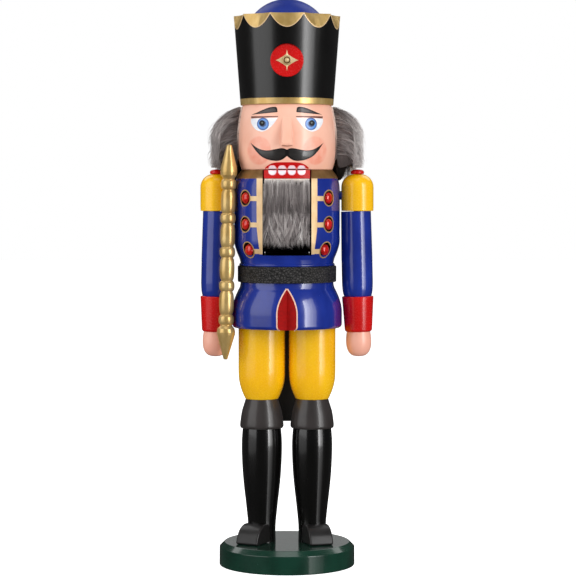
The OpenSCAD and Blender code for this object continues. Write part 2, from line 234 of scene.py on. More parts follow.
def make(name, points, faces, mats, face_mats=None):
    """A new mesh object from points in millimetres."""
    mesh = bpy.data.meshes.new(name)
    mesh.from_pydata([Vector(p) * MM for p in points], [], faces)
    for mat in mats:
        mesh.materials.append(mat)
    if face_mats:
        mesh.polygons.foreach_set("material_index", face_mats)
    mesh.validate()
    mesh.update()
    return placed(name, mesh)


def fit(piece, body, slot, *nodes):
    """Puts a finished piece on its body and in place of its CAD nodes."""
    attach(piece, body)
    if nodes:
        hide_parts(*nodes)
    return piece


def settle(piece):
    """Applies a piece's modifiers."""
    bpy.context.view_layer.update()
    depsgraph = bpy.context.evaluated_depsgraph_get()
    mesh = bpy.data.meshes.new_from_object(piece.evaluated_get(depsgraph), depsgraph=depsgraph)
    piece.modifiers.clear()
    piece.data = mesh
    return piece


def shade(piece, sharp=35):
    """Smooth shading that breaks at edges sharper than the angle."""
    piece.data.shade_smooth()
    piece.data.set_sharp_from_angle(angle=radians(sharp))
    weighted = piece.modifiers.new("even_shading", "WEIGHTED_NORMAL")
    weighted.keep_sharp = True
    return piece


def combine(piece, others, operation):
    """Cuts the other solids out of a piece, or keeps only what they share."""
    for other in others:
        step = piece.modifiers.new("combine", "BOOLEAN")
        step.object = other
        step.operation = operation
        step.solver = "EXACT"
        step.material_mode = "TRANSFER"
    settle(piece)
    for other in others:
        bpy.data.objects.remove(other)
    return piece


def soften(piece, width, segments=2, sharp=40):
    """Rounds a piece's sharp edges."""
    bevel = piece.modifiers.new("soft_edges", "BEVEL")
    bevel.width = width * MM
    bevel.segments = segments
    bevel.limit_method = "ANGLE"
    bevel.angle_limit = radians(sharp)
    return settle(piece)


def lathe(name, profile, mats, place=None, bands=(), segments=48):
    """A turned solid, its profile listed from the bottom up. A band is (low, high, material)."""
    points = []
    rings = []
    for radius, height in profile:
        count = 1 if radius < 1e-6 else segments
        rings.append([len(points) + k for k in range(count)])
        points += [polar(radius, 2 * pi * k / segments, height) for k in range(count)]
    faces = []
    face_mats = []
    for i, (below, above) in enumerate(zip(rings, rings[1:])):
        height = (profile[i][1] + profile[i + 1][1]) / 2
        band = next((m for z0, z1, m in bands if z0 < height < z1), 0)
        for k in range(segments):
            n = (k + 1) % segments
            face = [below[k % len(below)], below[n % len(below)],
                    above[n % len(above)], above[k % len(above)]]
            faces.append(list(dict.fromkeys(face)))
            face_mats.append(band)
    if place is not None:
        points = [place @ p for p in points]
    return make(name, points, faces, mats, face_mats)


def drill(radius, start, end, place, mat, segments=48):
    """A round cutter."""
    return lathe("drill", oblong(0, start, radius, end), [mat], place, segments=segments)


def turned(name, profile, mats, slot, node, place=None, sharp=50, bands=(), segments=96):
    """A turned piece, finished."""
    return fit(shade(lathe(name, profile, mats, place, bands, segments), sharp), FIGURE, slot, node)


def loft(name, rings, mats):
    """A solid through rings of points, closed at both ends."""
    across = len(rings[0])
    last = (len(rings) - 1) * across
    faces = [list(range(across))[::-1], list(range(last, last + across))]
    for start in range(0, last, across):
        for j in range(across):
            m = (j + 1) % across
            faces.append([start + j, start + m, start + across + m, start + across + j])
    return make(name, [p for ring in rings for p in ring], faces, mats)


def prism(name, outline, depth, mats, place=moved(0, 0, 0)):
    """A solid with a flat anticlockwise outline, from local z 0 up to depth."""
    return loft(name, [[place @ Vector((a, b, z)) for a, b in outline] for z in (0, depth)], mats)


def inside(point, loops):
    """Whether a flat point lies inside closed loops, where a loop in a loop is a hole."""
    x, y = point
    odd = False
    for loop in loops:
        for (x0, y0), (x1, y1) in zip(loop, loop[1:] + loop[:1]):
            if (y0 > y) != (y1 > y) and x < x0 + (x1 - x0) * (y - y0) / (y1 - y0):
                odd = not odd
    return odd


def divided(loop, step):
    """A closed loop with extra points along its long sides."""
    fuller = []
    for start, end in zip(loop, loop[1:] + loop[:1]):
        count = max(1, int(dist(start, end) / step))
        fuller += [tuple(Vector(start).lerp(Vector(end), k / count)) for k in range(count)]
    return fuller


def paint(name, loops, place, mat, slot, lift=PAINT, body=FIGURE, depth=0.25, spacing=1.1):
    """A thin painted shape: closed loops in the flat, laid on a surface by place(a, b, lift)."""
    loops = [divided(loop, 1.5 * spacing) for loop in loops]
    points = []
    edges = []
    for loop in loops:
        first = len(points)
        points += [Vector(p) for p in loop]
        edges += [(first + k, first + (k + 1) % len(loop)) for k in range(len(loop))]
    a_low, a_high = min(p.x for p in points), max(p.x for p in points)
    b_low, b_high = min(p.y for p in points), max(p.y for p in points)
    for i in range(1, int((a_high - a_low) / spacing) + 1):
        for j in range(1, int((b_high - b_low) / spacing) + 1):
            spot = Vector((a_low + i * spacing, b_low + (j - 0.5 * (i % 2)) * spacing))
            if inside(spot, loops):
                points.append(spot)
    flat, _, faces, _, _, _ = geometry.delaunay_2d_cdt(points, edges, [], 0, 1e-5)
    faces = [f for f in faces if inside(sum((flat[v] for v in f), Vector((0, 0))) / 3, loops)]
    used = sorted({v for f in faces for v in f})
    index = {v: k for k, v in enumerate(used)}
    faces = [[index[v] for v in f] for f in faces]
    flat = [flat[v] for v in used]
    count = len(flat)
    sides = dict.fromkeys((a, b) for f in faces for a, b in zip(f, f[1:] + f[:1]))
    top = [place(p.x, p.y, lift) for p in flat]
    solid = top + [place(p.x, p.y, -depth) for p in flat]
    solid_faces = faces + [[v + count for v in reversed(f)] for f in faces]
    solid_faces += [[b, a, a + count, b + count] for a, b in sides if (b, a) not in sides]
    return fit(shade(make(name, solid, solid_faces, [mat]), 50), body, slot)


def on_round(radius_of, turn=0.0):
    """Lays (distance across the front, height) on a round body, turned to an azimuth."""
    def place(across, z, lift):
        radius = radius_of(z) + lift
        return spun(turn) @ Vector((across, -sqrt(radius * radius - across * across), z))

    return place


def fur(name, paths, widths, tones, facing, mat):
    """Tapered three-sided hairs. paths is hairs x points x 3, widths and tones are hairs x points."""
    hairs, steps, _ = paths.shape
    tangent = np.gradient(paths, axis=1)
    tangent /= np.linalg.norm(tangent, axis=2, keepdims=True)
    across = np.cross(tangent, facing[:, None, :])
    across /= np.linalg.norm(across, axis=2, keepdims=True)
    outward = np.cross(across, tangent)
    rings = []
    for k in range(3):
        a = radians(90 + 120 * k)
        offset = across * cos(a) + outward * sin(a)
        rings.append(paths[:, :-1] + offset[:, :-1] * widths[:, :-1, None] / 2)
    body = np.stack(rings, axis=2).reshape(hairs, -1, 3)
    verts = np.concatenate([body, paths[:, -1:]], axis=1)
    count = verts.shape[1]
    sides = [(3 * s + k, 3 * s + (k + 1) % 3, 3 * s + 3 + (k + 1) % 3, 3 * s + 3 + k)
             for s in range(steps - 2) for k in range(3)]
    tip = [(count - 4 + k, count - 4 + (k + 1) % 3, count - 1) for k in range(3)]
    faces = [[start + v for v in face] for start in range(0, hairs * count, count)
             for face in sides + tip + [(2, 1, 0)]]
    piece = make(name, verts.reshape(-1, 3), faces, [mat])
    piece.data.shade_smooth()
    tone = np.concatenate([np.repeat(tones[:, :-1], 3, axis=1), tones[:, -1:]], axis=1)
    colours = np.stack([tone, tone, tone, np.ones_like(tone)], axis=2).astype(np.float32)
    layer = piece.data.color_attributes.new("tone", "FLOAT_COLOR", "POINT")
    layer.data.foreach_set("color", colours.ravel())
    return piece


# ---- materials ----
def colour(red, green, blue):
    """A linear colour from display values of 0 to 255."""
    shares = [c / 255 for c in (red, green, blue)]
    return [s / 12.92 if s <= 0.04045 else ((s + 0.055) / 1.055) ** 2.4 for s in shares] + [1.0]


def add(tree, kind, values=None, links=None, **settings):
    """A node with its settings, its fixed inputs and its linked inputs."""
    made = tree.nodes.new(kind)
    for key, value in settings.items():
        setattr(made, key, value)
    for key, value in (values or {}).items():
        made.inputs[key].default_value = value
    for key, source in (links or {}).items():
        tree.links.new(source, made.inputs[key])
    return made


class Finish:
    """A procedural material on a Principled shader, its sizes in millimetres."""

    def __init__(self, name):
        self.mat = bpy.data.materials.new(name)
        self.mat.use_nodes = True
        self.tree = self.mat.node_tree
        self.shader = self.tree.nodes["Principled BSDF"]

    def spot(self):
        return add(self.tree, "ShaderNodeTexCoord").outputs["Object"]

    def parts(self, vector):
        return add(self.tree, "ShaderNodeSeparateXYZ", links={"Vector": vector}).outputs

    def maths(self, operation, *sources, clamp=False):
        links = dict(enumerate(sources))
        return add(self.tree, "ShaderNodeMath", links=links, operation=operation,
                   use_clamp=clamp).outputs[0]

    def mapped(self, vector, scale, offset=(0, 0, 0)):
        return add(self.tree, "ShaderNodeMapping", {"Scale": scale, "Location": offset},
                   {"Vector": vector}).outputs[0]

    def cloud(self, size, detail=3, stretch=(1, 1, 1), roughness=0.5):
        """Noise with blobs of about the size."""
        values = {"Scale": 1 / (size * MM), "Detail": detail, "Roughness": roughness}
        return add(self.tree, "ShaderNodeTexNoise", values,
                   {"Vector": self.mapped(self.spot(), stretch)}).outputs["Fac"]

    def oval(self, centre, half_w, half_h):
        """Places measured from the middle of an oval on both sides of the face, and their distance."""
        parts = self.parts(self.spot())
        flat = add(self.tree, "ShaderNodeCombineXYZ",
                   links={"X": self.maths("ABSOLUTE", parts["X"]), "Z": parts["Z"]}).outputs[0]
        local = self.mapped(flat, (1 / (half_w * MM), 1, 1 / (half_h * MM)),
                            (-centre[0] / half_w, 0, -centre[1] / half_h))
        return local, add(self.tree, "ShaderNodeVectorMath", links={0: local},
                          operation="LENGTH").outputs["Value"]

    def ramp(self, source, *stops):
        """A colour ramp, its stops (place, display colour)."""
        made = add(self.tree, "ShaderNodeValToRGB", links={"Fac": source})
        elements = made.color_ramp.elements
        while len(elements) < len(stops):
            elements.new(0.5)
        for element, (place, value) in zip(elements, stops):
            element.position = place
            element.color = colour(*value)
        return made.outputs["Color"]

    def scaled(self, source, to_low, to_high, from_low=0.0, from_high=1.0, kind="LINEAR"):
        values = {"From Min": from_low, "From Max": from_high, "To Min": to_low, "To Max": to_high}
        return add(self.tree, "ShaderNodeMapRange", values, {"Value": source},
                   interpolation_type=kind).outputs["Result"]

    def link(self, source, socket):
        self.tree.links.new(source, self.shader.inputs[socket])

    def tint(self, source, *stops):
        self.link(self.ramp(source, *stops), "Base Color")

    def rough(self, source, to_low, to_high):
        self.link(self.scaled(source, to_low, to_high), "Roughness")

    def bump(self, *layers):
        """Bumps laid over each other. A layer is (height source, depth)."""
        links = {}
        for source, depth in layers:
            links["Height"] = source
            links["Normal"] = add(self.tree, "ShaderNodeBump", {"Strength": 1.0, "Distance": depth * MM},
                                  links).outputs["Normal"]
        self.link(links["Normal"], "Normal")

    def done(self, **values):
        """The material, with its even values set on the shader."""
        for key, value in values.items():
            self.shader.inputs[key.replace("_", " ")].default_value = value
        return self.mat


def lacquer(name, dark, light, gloss=0.24, coat=1.0, grain=0.010, soft=0.09):
    """Lacquer sprayed on turned wood: drifting colour, faint upright grain, orange peel, clear coat."""
    made = Finish(name)
    made.tint(made.cloud(14, stretch=(1, 1, 0.5)), (0.35, dark), (0.65, light))
    made.rough(made.cloud(1.2, detail=2), gloss * 0.8, gloss * 1.25)
    upright = made.cloud(1.6, detail=4, stretch=(1, 1, 0.06))
    made.bump((upright, grain), (made.cloud(3.2, detail=1), 0.012))
    return made.done(Coat_Weight=coat, Coat_Roughness=soft, Coat_IOR=1.5, IOR=1.45)


def gold_paint(name, dark, light, rough=0.34, metal=0.85):
    """Metallic paint: fine flakes and slow drifts in tone."""
    made = Finish(name)
    made.tint(made.cloud(6, stretch=(1, 1, 0.6)), (0.3, dark), (0.7, light))
    flakes = made.cloud(0.35)
    made.rough(flakes, rough * 0.75, rough * 1.3)
    made.bump((made.cloud(2.4), 0.02), (flakes, 0.006))
    return made.done(Metallic=metal, Coat_Weight=0.25, Coat_Roughness=0.12)


def skin_lacquer(name, dark, light, blush=None):
    """Flesh-coloured lacquer, with soft-edged painted cheeks on the head."""
    made = Finish(name)
    base = made.ramp(made.cloud(16), (0.3, dark), (0.7, light))
    if blush:
        local, reach = made.oval(CHEEK, 8.4, 10.0)
        edge = made.scaled(reach, 1.0, 0.0, 0.86, 1.04, "SMOOTHSTEP")
        fade = made.scaled(made.parts(local)["Z"], 0.85, 0.5, -0.5, 0.9, "SMOOTHSTEP")
        speckle = made.ramp(made.cloud(5), (0.35, blush), (1.0, light))
        links = {"Factor": made.maths("MULTIPLY", edge, fade), "A": base, "B": speckle}
        mix = add(made.tree, "ShaderNodeMix", data_type="RGBA")
        for socket, source in links.items():
            made.tree.links.new(source, mix.inputs[socket])
        base = mix.outputs["Result"]
    made.link(base, "Base Color")
    made.rough(made.cloud(1.4), 0.3, 0.42)
    upright = made.cloud(1.8, detail=4, stretch=(1, 1, 0.08))
    made.bump((upright, 0.006), (made.cloud(3.0, detail=1), 0.01))
    return made.done(Coat_Weight=0.45, Coat_Roughness=0.18)


def leather(name):
    """Black pebbled leather, lighter grey on the tops of its grain as a painted highlight."""
    made = Finish(name)
    cells = add(made.tree, "ShaderNodeTexVoronoi", {"Scale": 1 / (1.9 * MM), "Randomness": 0.95},
                {"Vector": made.mapped(made.spot(), (1, 1, 1.25))},
                feature="DISTANCE_TO_EDGE").outputs["Distance"]
    wrinkles = made.cloud(2.6, detail=5, stretch=(1, 1, 1.6), roughness=0.65)
    height = made.scaled(cells, 0.0, 1.0, 0.0, 0.35)
    # The grey tops of the pebbles are painted highlight.
    pebble_highlight = made.maths("MULTIPLY", height, wrinkles)
    made.tint(pebble_highlight, (0.04, (7, 7, 7)), (0.13, (26, 25, 25)), (0.3, (66, 64, 63)))
    made.rough(wrinkles, 0.42, 0.62)
    made.bump((height, 0.4), (wrinkles, 0.7))
    return made.done(Specular_IOR_Level=0.45)


def fur_hair(name, *stops):
    """Fur, its tone carried by each hair."""
    made = Finish(name)
    tone = add(made.tree, "ShaderNodeAttribute", attribute_name="tone").outputs["Fac"]
    made.tint(tone, *stops)
    return made.done(Roughness=0.5, Specular_IOR_Level=0.35, Sheen_Weight=0.15)


def hide(name, base, tip, from_z, to_z):
    """The skin side of a fur strip, pale along its cut edge at the top and dark below it: the dark is
    painted shade under the fur.
    """
    made = Finish(name)
    height = made.parts(made.spot())["Z"]
    level = made.scaled(height, 0.0, 0.8, from_z * MM, to_z * MM, "SMOOTHSTEP")
    fuzz = made.scaled(made.cloud(0.8, detail=4, stretch=(1, 1, 0.2)), -0.25, 0.25)
    made.tint(made.maths("ADD", level, fuzz, clamp=True), (0.0, base), (1.0, tip))
    made.bump((made.cloud(0.7, detail=4), 0.15))
    return made.done(Roughness=0.85)


def iris(name):
    """A blue painted iris: dark middle and rim, paler between them, with fine rays."""
    made = Finish(name)
    _, reach = made.oval((EYE_X, EYE_Z), 4.2, 4.2)
    rays = made.scaled(made.cloud(0.9), -0.12, 0.12)
    made.tint(made.maths("ADD", reach, rays), (0.4, (34, 66, 122)), (0.62, (96, 154, 226)),
              (0.8, (70, 126, 204)), (0.95, (34, 68, 134)))
    return made.done(Roughness=0.3, Coat_Weight=0.6, Coat_Roughness=0.1)


def plain_paint(name, dark, light, rough=0.35, coat=0.5, size=2.5, shine=0.5):
    """Brushed-on detail paint with a light streak from the brush."""
    made = Finish(name)
    streak = made.cloud(size, detail=4, stretch=(0.5, 1, 1.4))
    made.tint(streak, (0.3, dark), (0.7, light))
    made.rough(streak, rough * 0.85, rough * 1.15)
    made.bump((made.cloud(0.9), 0.008))
    return made.done(Coat_Weight=coat, Coat_Roughness=0.12, Specular_IOR_Level=shine)


def jewel(name):
    """A red glass cabochon, backed with foil."""
    made = Finish(name)
    depth = made.cloud(1.8, detail=2)
    made.tint(depth, (0.3, (168, 12, 10)), (0.75, (236, 42, 32)))
    made.rough(depth, 0.1, 0.18)
    made.bump((made.cloud(1.2, detail=1), 0.01))
    return made.done(Metallic=0.15, Coat_Weight=1.0, Coat_Roughness=0.02, IOR=1.6)


def cast_metal(name, dark, light, rough):
    """Cast or drawn metal with tarnish in its low spots."""
    made = Finish(name)
    tarnish = made.cloud(1.6, detail=5, roughness=0.6)
    made.tint(tarnish, (0.3, dark), (0.6, light))
    made.rough(tarnish, rough * 1.3, rough * 0.7)
    made.bump((tarnish, 0.06))
    return made.done(Metallic=1.0)


def bare_wood(name):
    """Unpainted dowel wood with long grain."""
    made = Finish(name)
    grain = made.cloud(1.1, detail=6, stretch=(1, 1, 0.08), roughness=0.65)
    made.tint(grain, (0.3, (168, 122, 76)), (0.7, (214, 176, 124)))
    made.rough(grain, 0.7, 0.5)
    made.bump((grain, 0.05))
    return made.done()


def floor_finish(name):
    """A smooth pale studio floor."""
    made = Finish(name)
    made.tint(made.cloud(400), (0.3, (247, 247, 247)), (0.7, (249, 249, 249)))
    return made.done(Roughness=0.9, Specular_IOR_Level=0.1,
                     Emission_Color=(1, 1, 1, 1), Emission_Strength=0.75)


CHEEK = (18.8, 286.0)
EYE_X = 16.2
EYE_Z = 303.8
GREEN = lacquer("green_lacquer", (10, 46, 34), (16, 58, 44))
BLACK = lacquer("black_lacquer", (6, 6, 5), (11, 10, 10))
TOE_BLACK = lacquer("toe_lacquer", (20, 18, 18), (28, 26, 26), gloss=0.45, coat=0.4, soft=0.3)
CROWN_BLACK = lacquer("crown_lacquer", (8, 7, 7), (14, 13, 13), gloss=0.3, coat=0.8, soft=0.22)
BOOT_CUFF = lacquer("black_cuff_lacquer", (47, 43, 42), (57, 52, 51), gloss=0.36, coat=0.5, soft=0.16)
SATIN = lacquer("black_satin", (7, 7, 7), (12, 12, 12), gloss=0.5, coat=0.1, grain=0.03)
YELLOW = lacquer("yellow_lacquer", (248, 184, 5), (254, 196, 12), gloss=0.26, coat=0.5, soft=0.12)
BLUE = lacquer("blue_lacquer", (16, 39, 130), (24, 50, 150))
RED = lacquer("red_lacquer", (190, 4, 4), (212, 8, 7), gloss=0.26, coat=0.4, soft=0.12)
NOTCH_RED = plain_paint("notch_red_paint", (146, 3, 2), (168, 5, 4), rough=0.6, coat=0.0, shine=0.15)
DOME_BLUE = plain_paint("dome_blue_paint", (14, 38, 126), (20, 48, 144), rough=0.45, coat=0.05, size=12,
                        shine=0.25)
SKIN = skin_lacquer("skin_lacquer", (249, 186, 160), (253, 198, 175), blush=(244, 146, 120))
HAND_SKIN = skin_lacquer("hand_skin_lacquer", (245, 172, 148), (251, 186, 163))
GOLD = gold_paint("gold_lacquer", (212, 172, 98), (240, 206, 138), rough=0.32, metal=0.62)
# The collar gold is painted darker, as shade under the head; the badge boss's groove uses it as painted
# shade too.
COLLAR_GOLD_SHADED = gold_paint("collar_gold_shaded_paint", (132, 96, 54), (164, 126, 80), metal=0.5)
TRIM = gold_paint("gold_trim_paint", (230, 188, 134), (248, 216, 168), rough=0.42, metal=0.3)
RING_GOLD = gold_paint("ring_gold_paint", (188, 150, 98), (214, 176, 122), metal=0.4)
BRASS = gold_paint("star_brass", (232, 200, 142), (252, 232, 186), rough=0.36, metal=0.4)
PALE_LINE = plain_paint("pale_line_paint", (236, 184, 158), (250, 212, 190))
LEATHER = leather("belt_leather")
FUR = fur_hair("grey_fur", (0.0, (50, 45, 45)), (0.35, (122, 113, 112)), (0.65, (184, 175, 173)),
               (1.0, (248, 244, 241)))
# Fur hides and undercoat are darker low down: painted shade under the fur.
BEARD_HIDE_SHADED = hide("beard_hide", (40, 36, 36), (240, 230, 222), 263.6, 266.2)
FUR_RIM = plain_paint("fur_rim_hide", (206, 190, 176), (240, 228, 216), rough=0.8, coat=0.0, size=0.9)
HAIR_HIDE_SHADED = hide("hair_hide", (100, 88, 84), (236, 218, 206), 286.0, 304.0)
UNDERCOAT_SHADED = hide("hair_undercoat", (62, 56, 55), (126, 116, 114), 272.0, 297.0)
# The nape fur is painted dark as the shade behind the head.
NAPE_SHADE = hide("hair_nape_shade", (30, 26, 25), (62, 56, 55), 262.0, 284.0)
JEWEL = jewel("red_jewel")
STEEL = cast_metal("pin_steel", (110, 110, 112), (190, 190, 192), 0.28)
WOOD = bare_wood("bare_wood")
EYE_WHITE = plain_paint("eye_white_paint", (228, 230, 238), (247, 247, 251))
IRIS = iris("iris_paint")
CHARCOAL = plain_paint("charcoal_paint", (34, 32, 31), (46, 43, 42), rough=0.3, coat=0.7)
BROW_GREY = plain_paint("brow_grey_paint", (66, 58, 57), (84, 75, 74), rough=0.4, coat=0.3)
INK = plain_paint("black_line_paint", (6, 5, 5), (10, 9, 9), rough=0.45, coat=0.3)
PUPIL = plain_paint("pupil_paint", (10, 14, 26), (16, 20, 34), rough=0.6, coat=0.0)
GLINT = plain_paint("glint_paint", (96, 104, 100), (128, 134, 130), rough=0.5, coat=0.2)
LID = plain_paint("brown_line_paint", (104, 58, 48), (132, 80, 68), coat=0.2)
# A brown stripe under the nose is painted shadow.
NOSE_SHADOW = plain_paint("nose_shadow_paint", (168, 96, 78), (190, 116, 96), coat=0.2)
LIP = plain_paint("lip_red_paint", (186, 6, 6), (208, 10, 9), rough=0.42, coat=0.05, shine=0.25)
# The pink rim round each white tooth is painted shade, where a rounded tooth would turn from the light.
TOOTH_EDGE_SHADE = plain_paint("tooth_edge_shade_paint", (244, 176, 188), (250, 200, 208))
TOOTH = plain_paint("tooth_paint", (240, 236, 244), (252, 250, 254), rough=0.25, coat=0.6)


# ---- base and legs ----
def base():
    profile = rounded([(0, 0), (BASE_R, 0, 0.8), (BASE_R, BASE_Z - 3.5, 0.7),
                       (BASE_R - 3.5, BASE_Z, 0.6), (0, BASE_Z)])
    turned("base_disc", profile, [GREEN], "green_lacquer", "base", sharp=35, segments=192)


def at_leg(side):
    return moved(side * LEG_X, 0, 0)


def boot(name, side):
    """A turned boot whose cuff flares over the calf."""
    cuff_z = KNEE_Z - 20.0
    cuff_r = high("boot_left").x - LEG_X
    calf = smooth([(9.6, BASE_Z), (9.55, 27), (11, 42), (12.2, 52.4), (13.2, 63), (13.8, 74),
                   (13.95, 84), (13.6, 91), (13.2, cuff_z)], 4)
    cuff = smooth(near(cuff_r, cuff_z, (-0.1, 0.8), (0, 2.2), (-0.4, 6), (-1.3, 11.6), (-2.7, 16.2),
                       (-3.9, 20.0)), 4)
    profile = [(0, BASE_Z)] + calf + [(cuff_r - 0.7, cuff_z)] + cuff + [(0, KNEE_Z)]
    turned(f"boot_leg_{name}", profile, [BLACK, BOOT_CUFF], "black_lacquer", f"boot_{name}",
           at_leg(side), bands=[(cuff_z, KNEE_Z + 1, 1)])


def toe(name, side):
    """A quarter-round toe cap with flat sides, set against the boot."""
    turn = 28 if side == RIGHT else 17
    width, reach, height = 16.8, 22.5, high(f"toe_{name}").z - BASE_Z
    outline = [(0, 0)] + arc((reach - 1.5, 1.5), 1.5, -90, 12, 3)
    outline += arc((reach - height, 0.5), height - 0.5, 25, 90, 12) + [(0, height)]
    place = at_leg(side) @ spun(side * turn) @ moved(width / 2, 0, BASE_Z) @ spun(-90) @ spun(90, "X")
    piece = prism(f"boot_toe_{name}", outline, width, [TOE_BLACK], place)
    piece.data.flip_normals()
    soften(piece, 1.3, 4)
    combine(piece, [drill(9.5, 0, 60, at_leg(side), BLACK, 72)], "DIFFERENCE")
    fit(shade(piece), FIGURE, "black_lacquer", f"toe_{name}")


def trouser(name, side):
    radius = high("trouser_left").x - LEG_X
    profile = [(0, KNEE_Z), (radius - 5.0, KNEE_Z)] + smooth(
        near(radius, KNEE_Z, (-4.6, 0.4), (-3.0, 3.8), (-1.5, 8), (-0.4, 13), (0, 19), (0, 28)), 5)
    profile += [(radius, HIP_Z), (0, HIP_Z)]
    turned(f"trouser_leg_{name}", profile, [YELLOW], "yellow_lacquer", f"trouser_{name}", at_leg(side))


# ---- body ----
def torso_profile():
    hem = arc((SKIRT_R - 2.5, HIP_Z + 2.5), 2.5, -85, 0, 6)
    skirt = smooth(near(SKIRT_R, HIP_Z, (0, 7), (-0.05, 12.5), (-0.8, 17), (-2.2, 21.3), (-4.0, 25.4),
                        (-5.15, 27.7)) + near(WAIST_R, HIP_Z, (0.1, 29.8), (0, 31)))
    roll = arc((WAIST_R + 0.1, HIP_Z + 43.6), 0.8, -90, 90, 8)
    chest = smooth(near(WAIST_R, HIP_Z, (0, 44.6), (0.6, 47.6), (2.4, 52.0))
                   + near(CHEST_R, HIP_Z, (-0.5, 56.5), (0, 60), (0, 66)))
    shoulder = smooth([(CHEST_R, NECK_Z - 14), (CHEST_R - 0.35, NECK_Z - 10),
                       (CHEST_R - 1.3, COLLAR_Z), (CHEST_R - 2.9, NECK_Z - 3), (31.2, NECK_Z)])
    return ([(0, HIP_Z), (SKIRT_R - 2.5, HIP_Z)] + hem + skirt + [(WAIST_R, HIP_Z + 42.8)] + roll
            + chest + shoulder + [(0, NECK_Z)])


TORSO = torso_profile()


def at_button(z, azimuth):
    """The frame of a button: its z axis points out of the chest."""
    return moved(0, 0, z) @ spun(azimuth) @ spun(90, "X")


def recess_floor(row):
    return (CHEST_R - 1.2, CHEST_R - 1.2, CHEST_R - 2.6)[row]


def torso():
    """The coat: a lathed body with the lever's slot, the skirt's notch and the drilled recesses."""
    # The collar band carries painted shade from the head above.
    piece = lathe("coat_body", TORSO, [BLUE, COLLAR_GOLD_SHADED], bands=[(COLLAR_Z, NECK_Z + 1, 1)],
                  segments=192)
    half = SLOT_W / 2
    guide = SLOT_BACK_W / 2
    outline = [(-half, -60), (half, -60), (half, 12), (guide, 12), (guide, 60), (-guide, 60), (-guide, 12),
               (-half, 12)]
    reach = 12
    spread = reach * tan(radians(NOTCH_ANGLE))
    cutters = [prism("slot", outline, 90, [SATIN], moved(0, 0, SLOT_Z)),
               prism("notch", [(0, 0), (-spread, -reach), (spread, -reach)], 32, [NOTCH_RED],
                     moved(0, -WAIST_R - 0.6, HIP_Z - 1))]
    for side in (LEFT, RIGHT):
        for row, (z, azimuth) in enumerate(BUTTON_ROWS):
            cutters.append(drill(RECESS_R, recess_floor(row), 45, at_button(z, side * azimuth), INK))
        cutters.append(drill(4.05, 33, 45, at_button(PIVOT_Z, side * 90), BLUE))
    combine(piece, cutters, "DIFFERENCE")
    fit(shade(piece, 30), FIGURE, "blue_lacquer", "torso")


def on_torso(turn=0.0):
    return on_round(lambda z: radius_at(TORSO, z), turn)


def notch_outline(side):
    """The line where the notch's side meets the coat, from its tip down to the hem."""
    slope = tan(radians(NOTCH_ANGLE))
    crease = WAIST_R + 0.6
    line = []
    for k in range(29):
        z = HIP_Z + 0.2 + k
        radius = radius_at(TORSO, z)
        if radius <= crease:
            break
        a = 1 + slope * slope
        b = 2 * crease
        depth = (-b + sqrt(b * b - 4 * a * (crease * crease - radius * radius))) / (2 * a)
        line.append((side * depth * slope, z))
    line.append((0, line[-1][1] + 0.8))
    return line


def coat_trim(name, side):
    """Gold lapel, bars and button rings of one side, and the pale line round the notch."""
    edge = SLOT_W / 2 + 0.02
    outer = smooth(near(edge, 0, (2.2, 219.5), (2.8, 224), (3.4, 229), (3.9, 235), (4.0, 252)), 5)
    lapel = [(edge, 215.8), (edge + 2.2, 215.8)] + outer + near(edge, COLLAR_Z + 0.1, (4.0, 0), (0, 0))
    loops = {"lapel": lapel}
    for row, (z, azimuth) in enumerate(BUTTON_ROWS):
        inner = edge + (3.6 if row < 2 else 0.3)
        reach = (CHEST_R if row < 2 else 34.6) * sin(radians(azimuth)) - 3.4
        bar_z = z - (0.3 if row < 2 else 1.0)
        loops[f"bar_{row + 1}"] = oblong(inner, bar_z - 1.65, reach, bar_z + 1.65)
    for label, loop in loops.items():
        lift = PAINT + (0.03 if label.startswith("bar") else 0)
        paint(f"trim_{label}_{name}", [[(side * a, b) for a, b in loop]], on_torso(), TRIM, "gold_lacquer",
              lift)
    for row, (z, azimuth) in enumerate(BUTTON_ROWS):
        ring = [ellipse((0, z), 5.75, 5.75), ellipse((0, z), RECESS_R, RECESS_R)]
        paint(f"trim_ring_{row + 1}_{name}", ring, on_torso(side * azimuth), RING_GOLD, "gold_lacquer",
              PAINT + 0.06)
    paint(f"trim_notch_{name}", [stripe(notch_outline(side), -side * 0.85)], on_torso(), PALE_LINE,
          "gold_lacquer", spacing=0.6)


def buttons(name, side):
    """Three red glass domes, each on the floor of its recess."""
    for row, (z, azimuth) in enumerate(BUTTON_ROWS):
        start = recess_floor(row)
        profile = [(0, start - 0.5), (3.5, start - 0.5)] + smooth(near(
            0, start, (3.8, 0.1), (3.85, 0.7), (3.45, 1.6), (2.4, 2.4), (1.2, 2.75), (0, 2.85)), 4)
        dome = lathe(f"jewel_{row + 1}_{name}", profile, [JEWEL], at_button(z, side * azimuth))
        fit(shade(dome, 60), FIGURE, "red_jewel")
    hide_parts(f"buttons_{name}")


def belt():
    """A leather strap with rounded edges and a slightly uneven face."""
    outer = WAIST_R + 2.0
    strap = rounded([(WAIST_R, BELT_LOW), (outer, BELT_LOW, 0.7), (outer, BELT_HIGH, 0.7),
                     (WAIST_R, BELT_HIGH)], 4)
    count = 240
    points = []
    faces = []
    for k in range(count):
        azimuth = 2 * pi * k / count
        here, ahead = k * len(strap), (k + 1) % count * len(strap)
        for j, (radius, height) in enumerate(strap):
            swell = 0.08 * noise.noise(Vector((6 * sin(azimuth), 6 * cos(azimuth), height / 5)))
            out = min(radius + (swell - 0.08 if radius > WAIST_R + 0.1 else 0), outer)
            points.append(polar(out, azimuth, height))
            m = (j + 1) % len(strap)
            faces.append([here + j, ahead + j, ahead + m, here + m])
    piece = make("belt_strap", points, faces, [LEATHER])
    fit(shade(piece), FIGURE, "belt_leather", "belt")


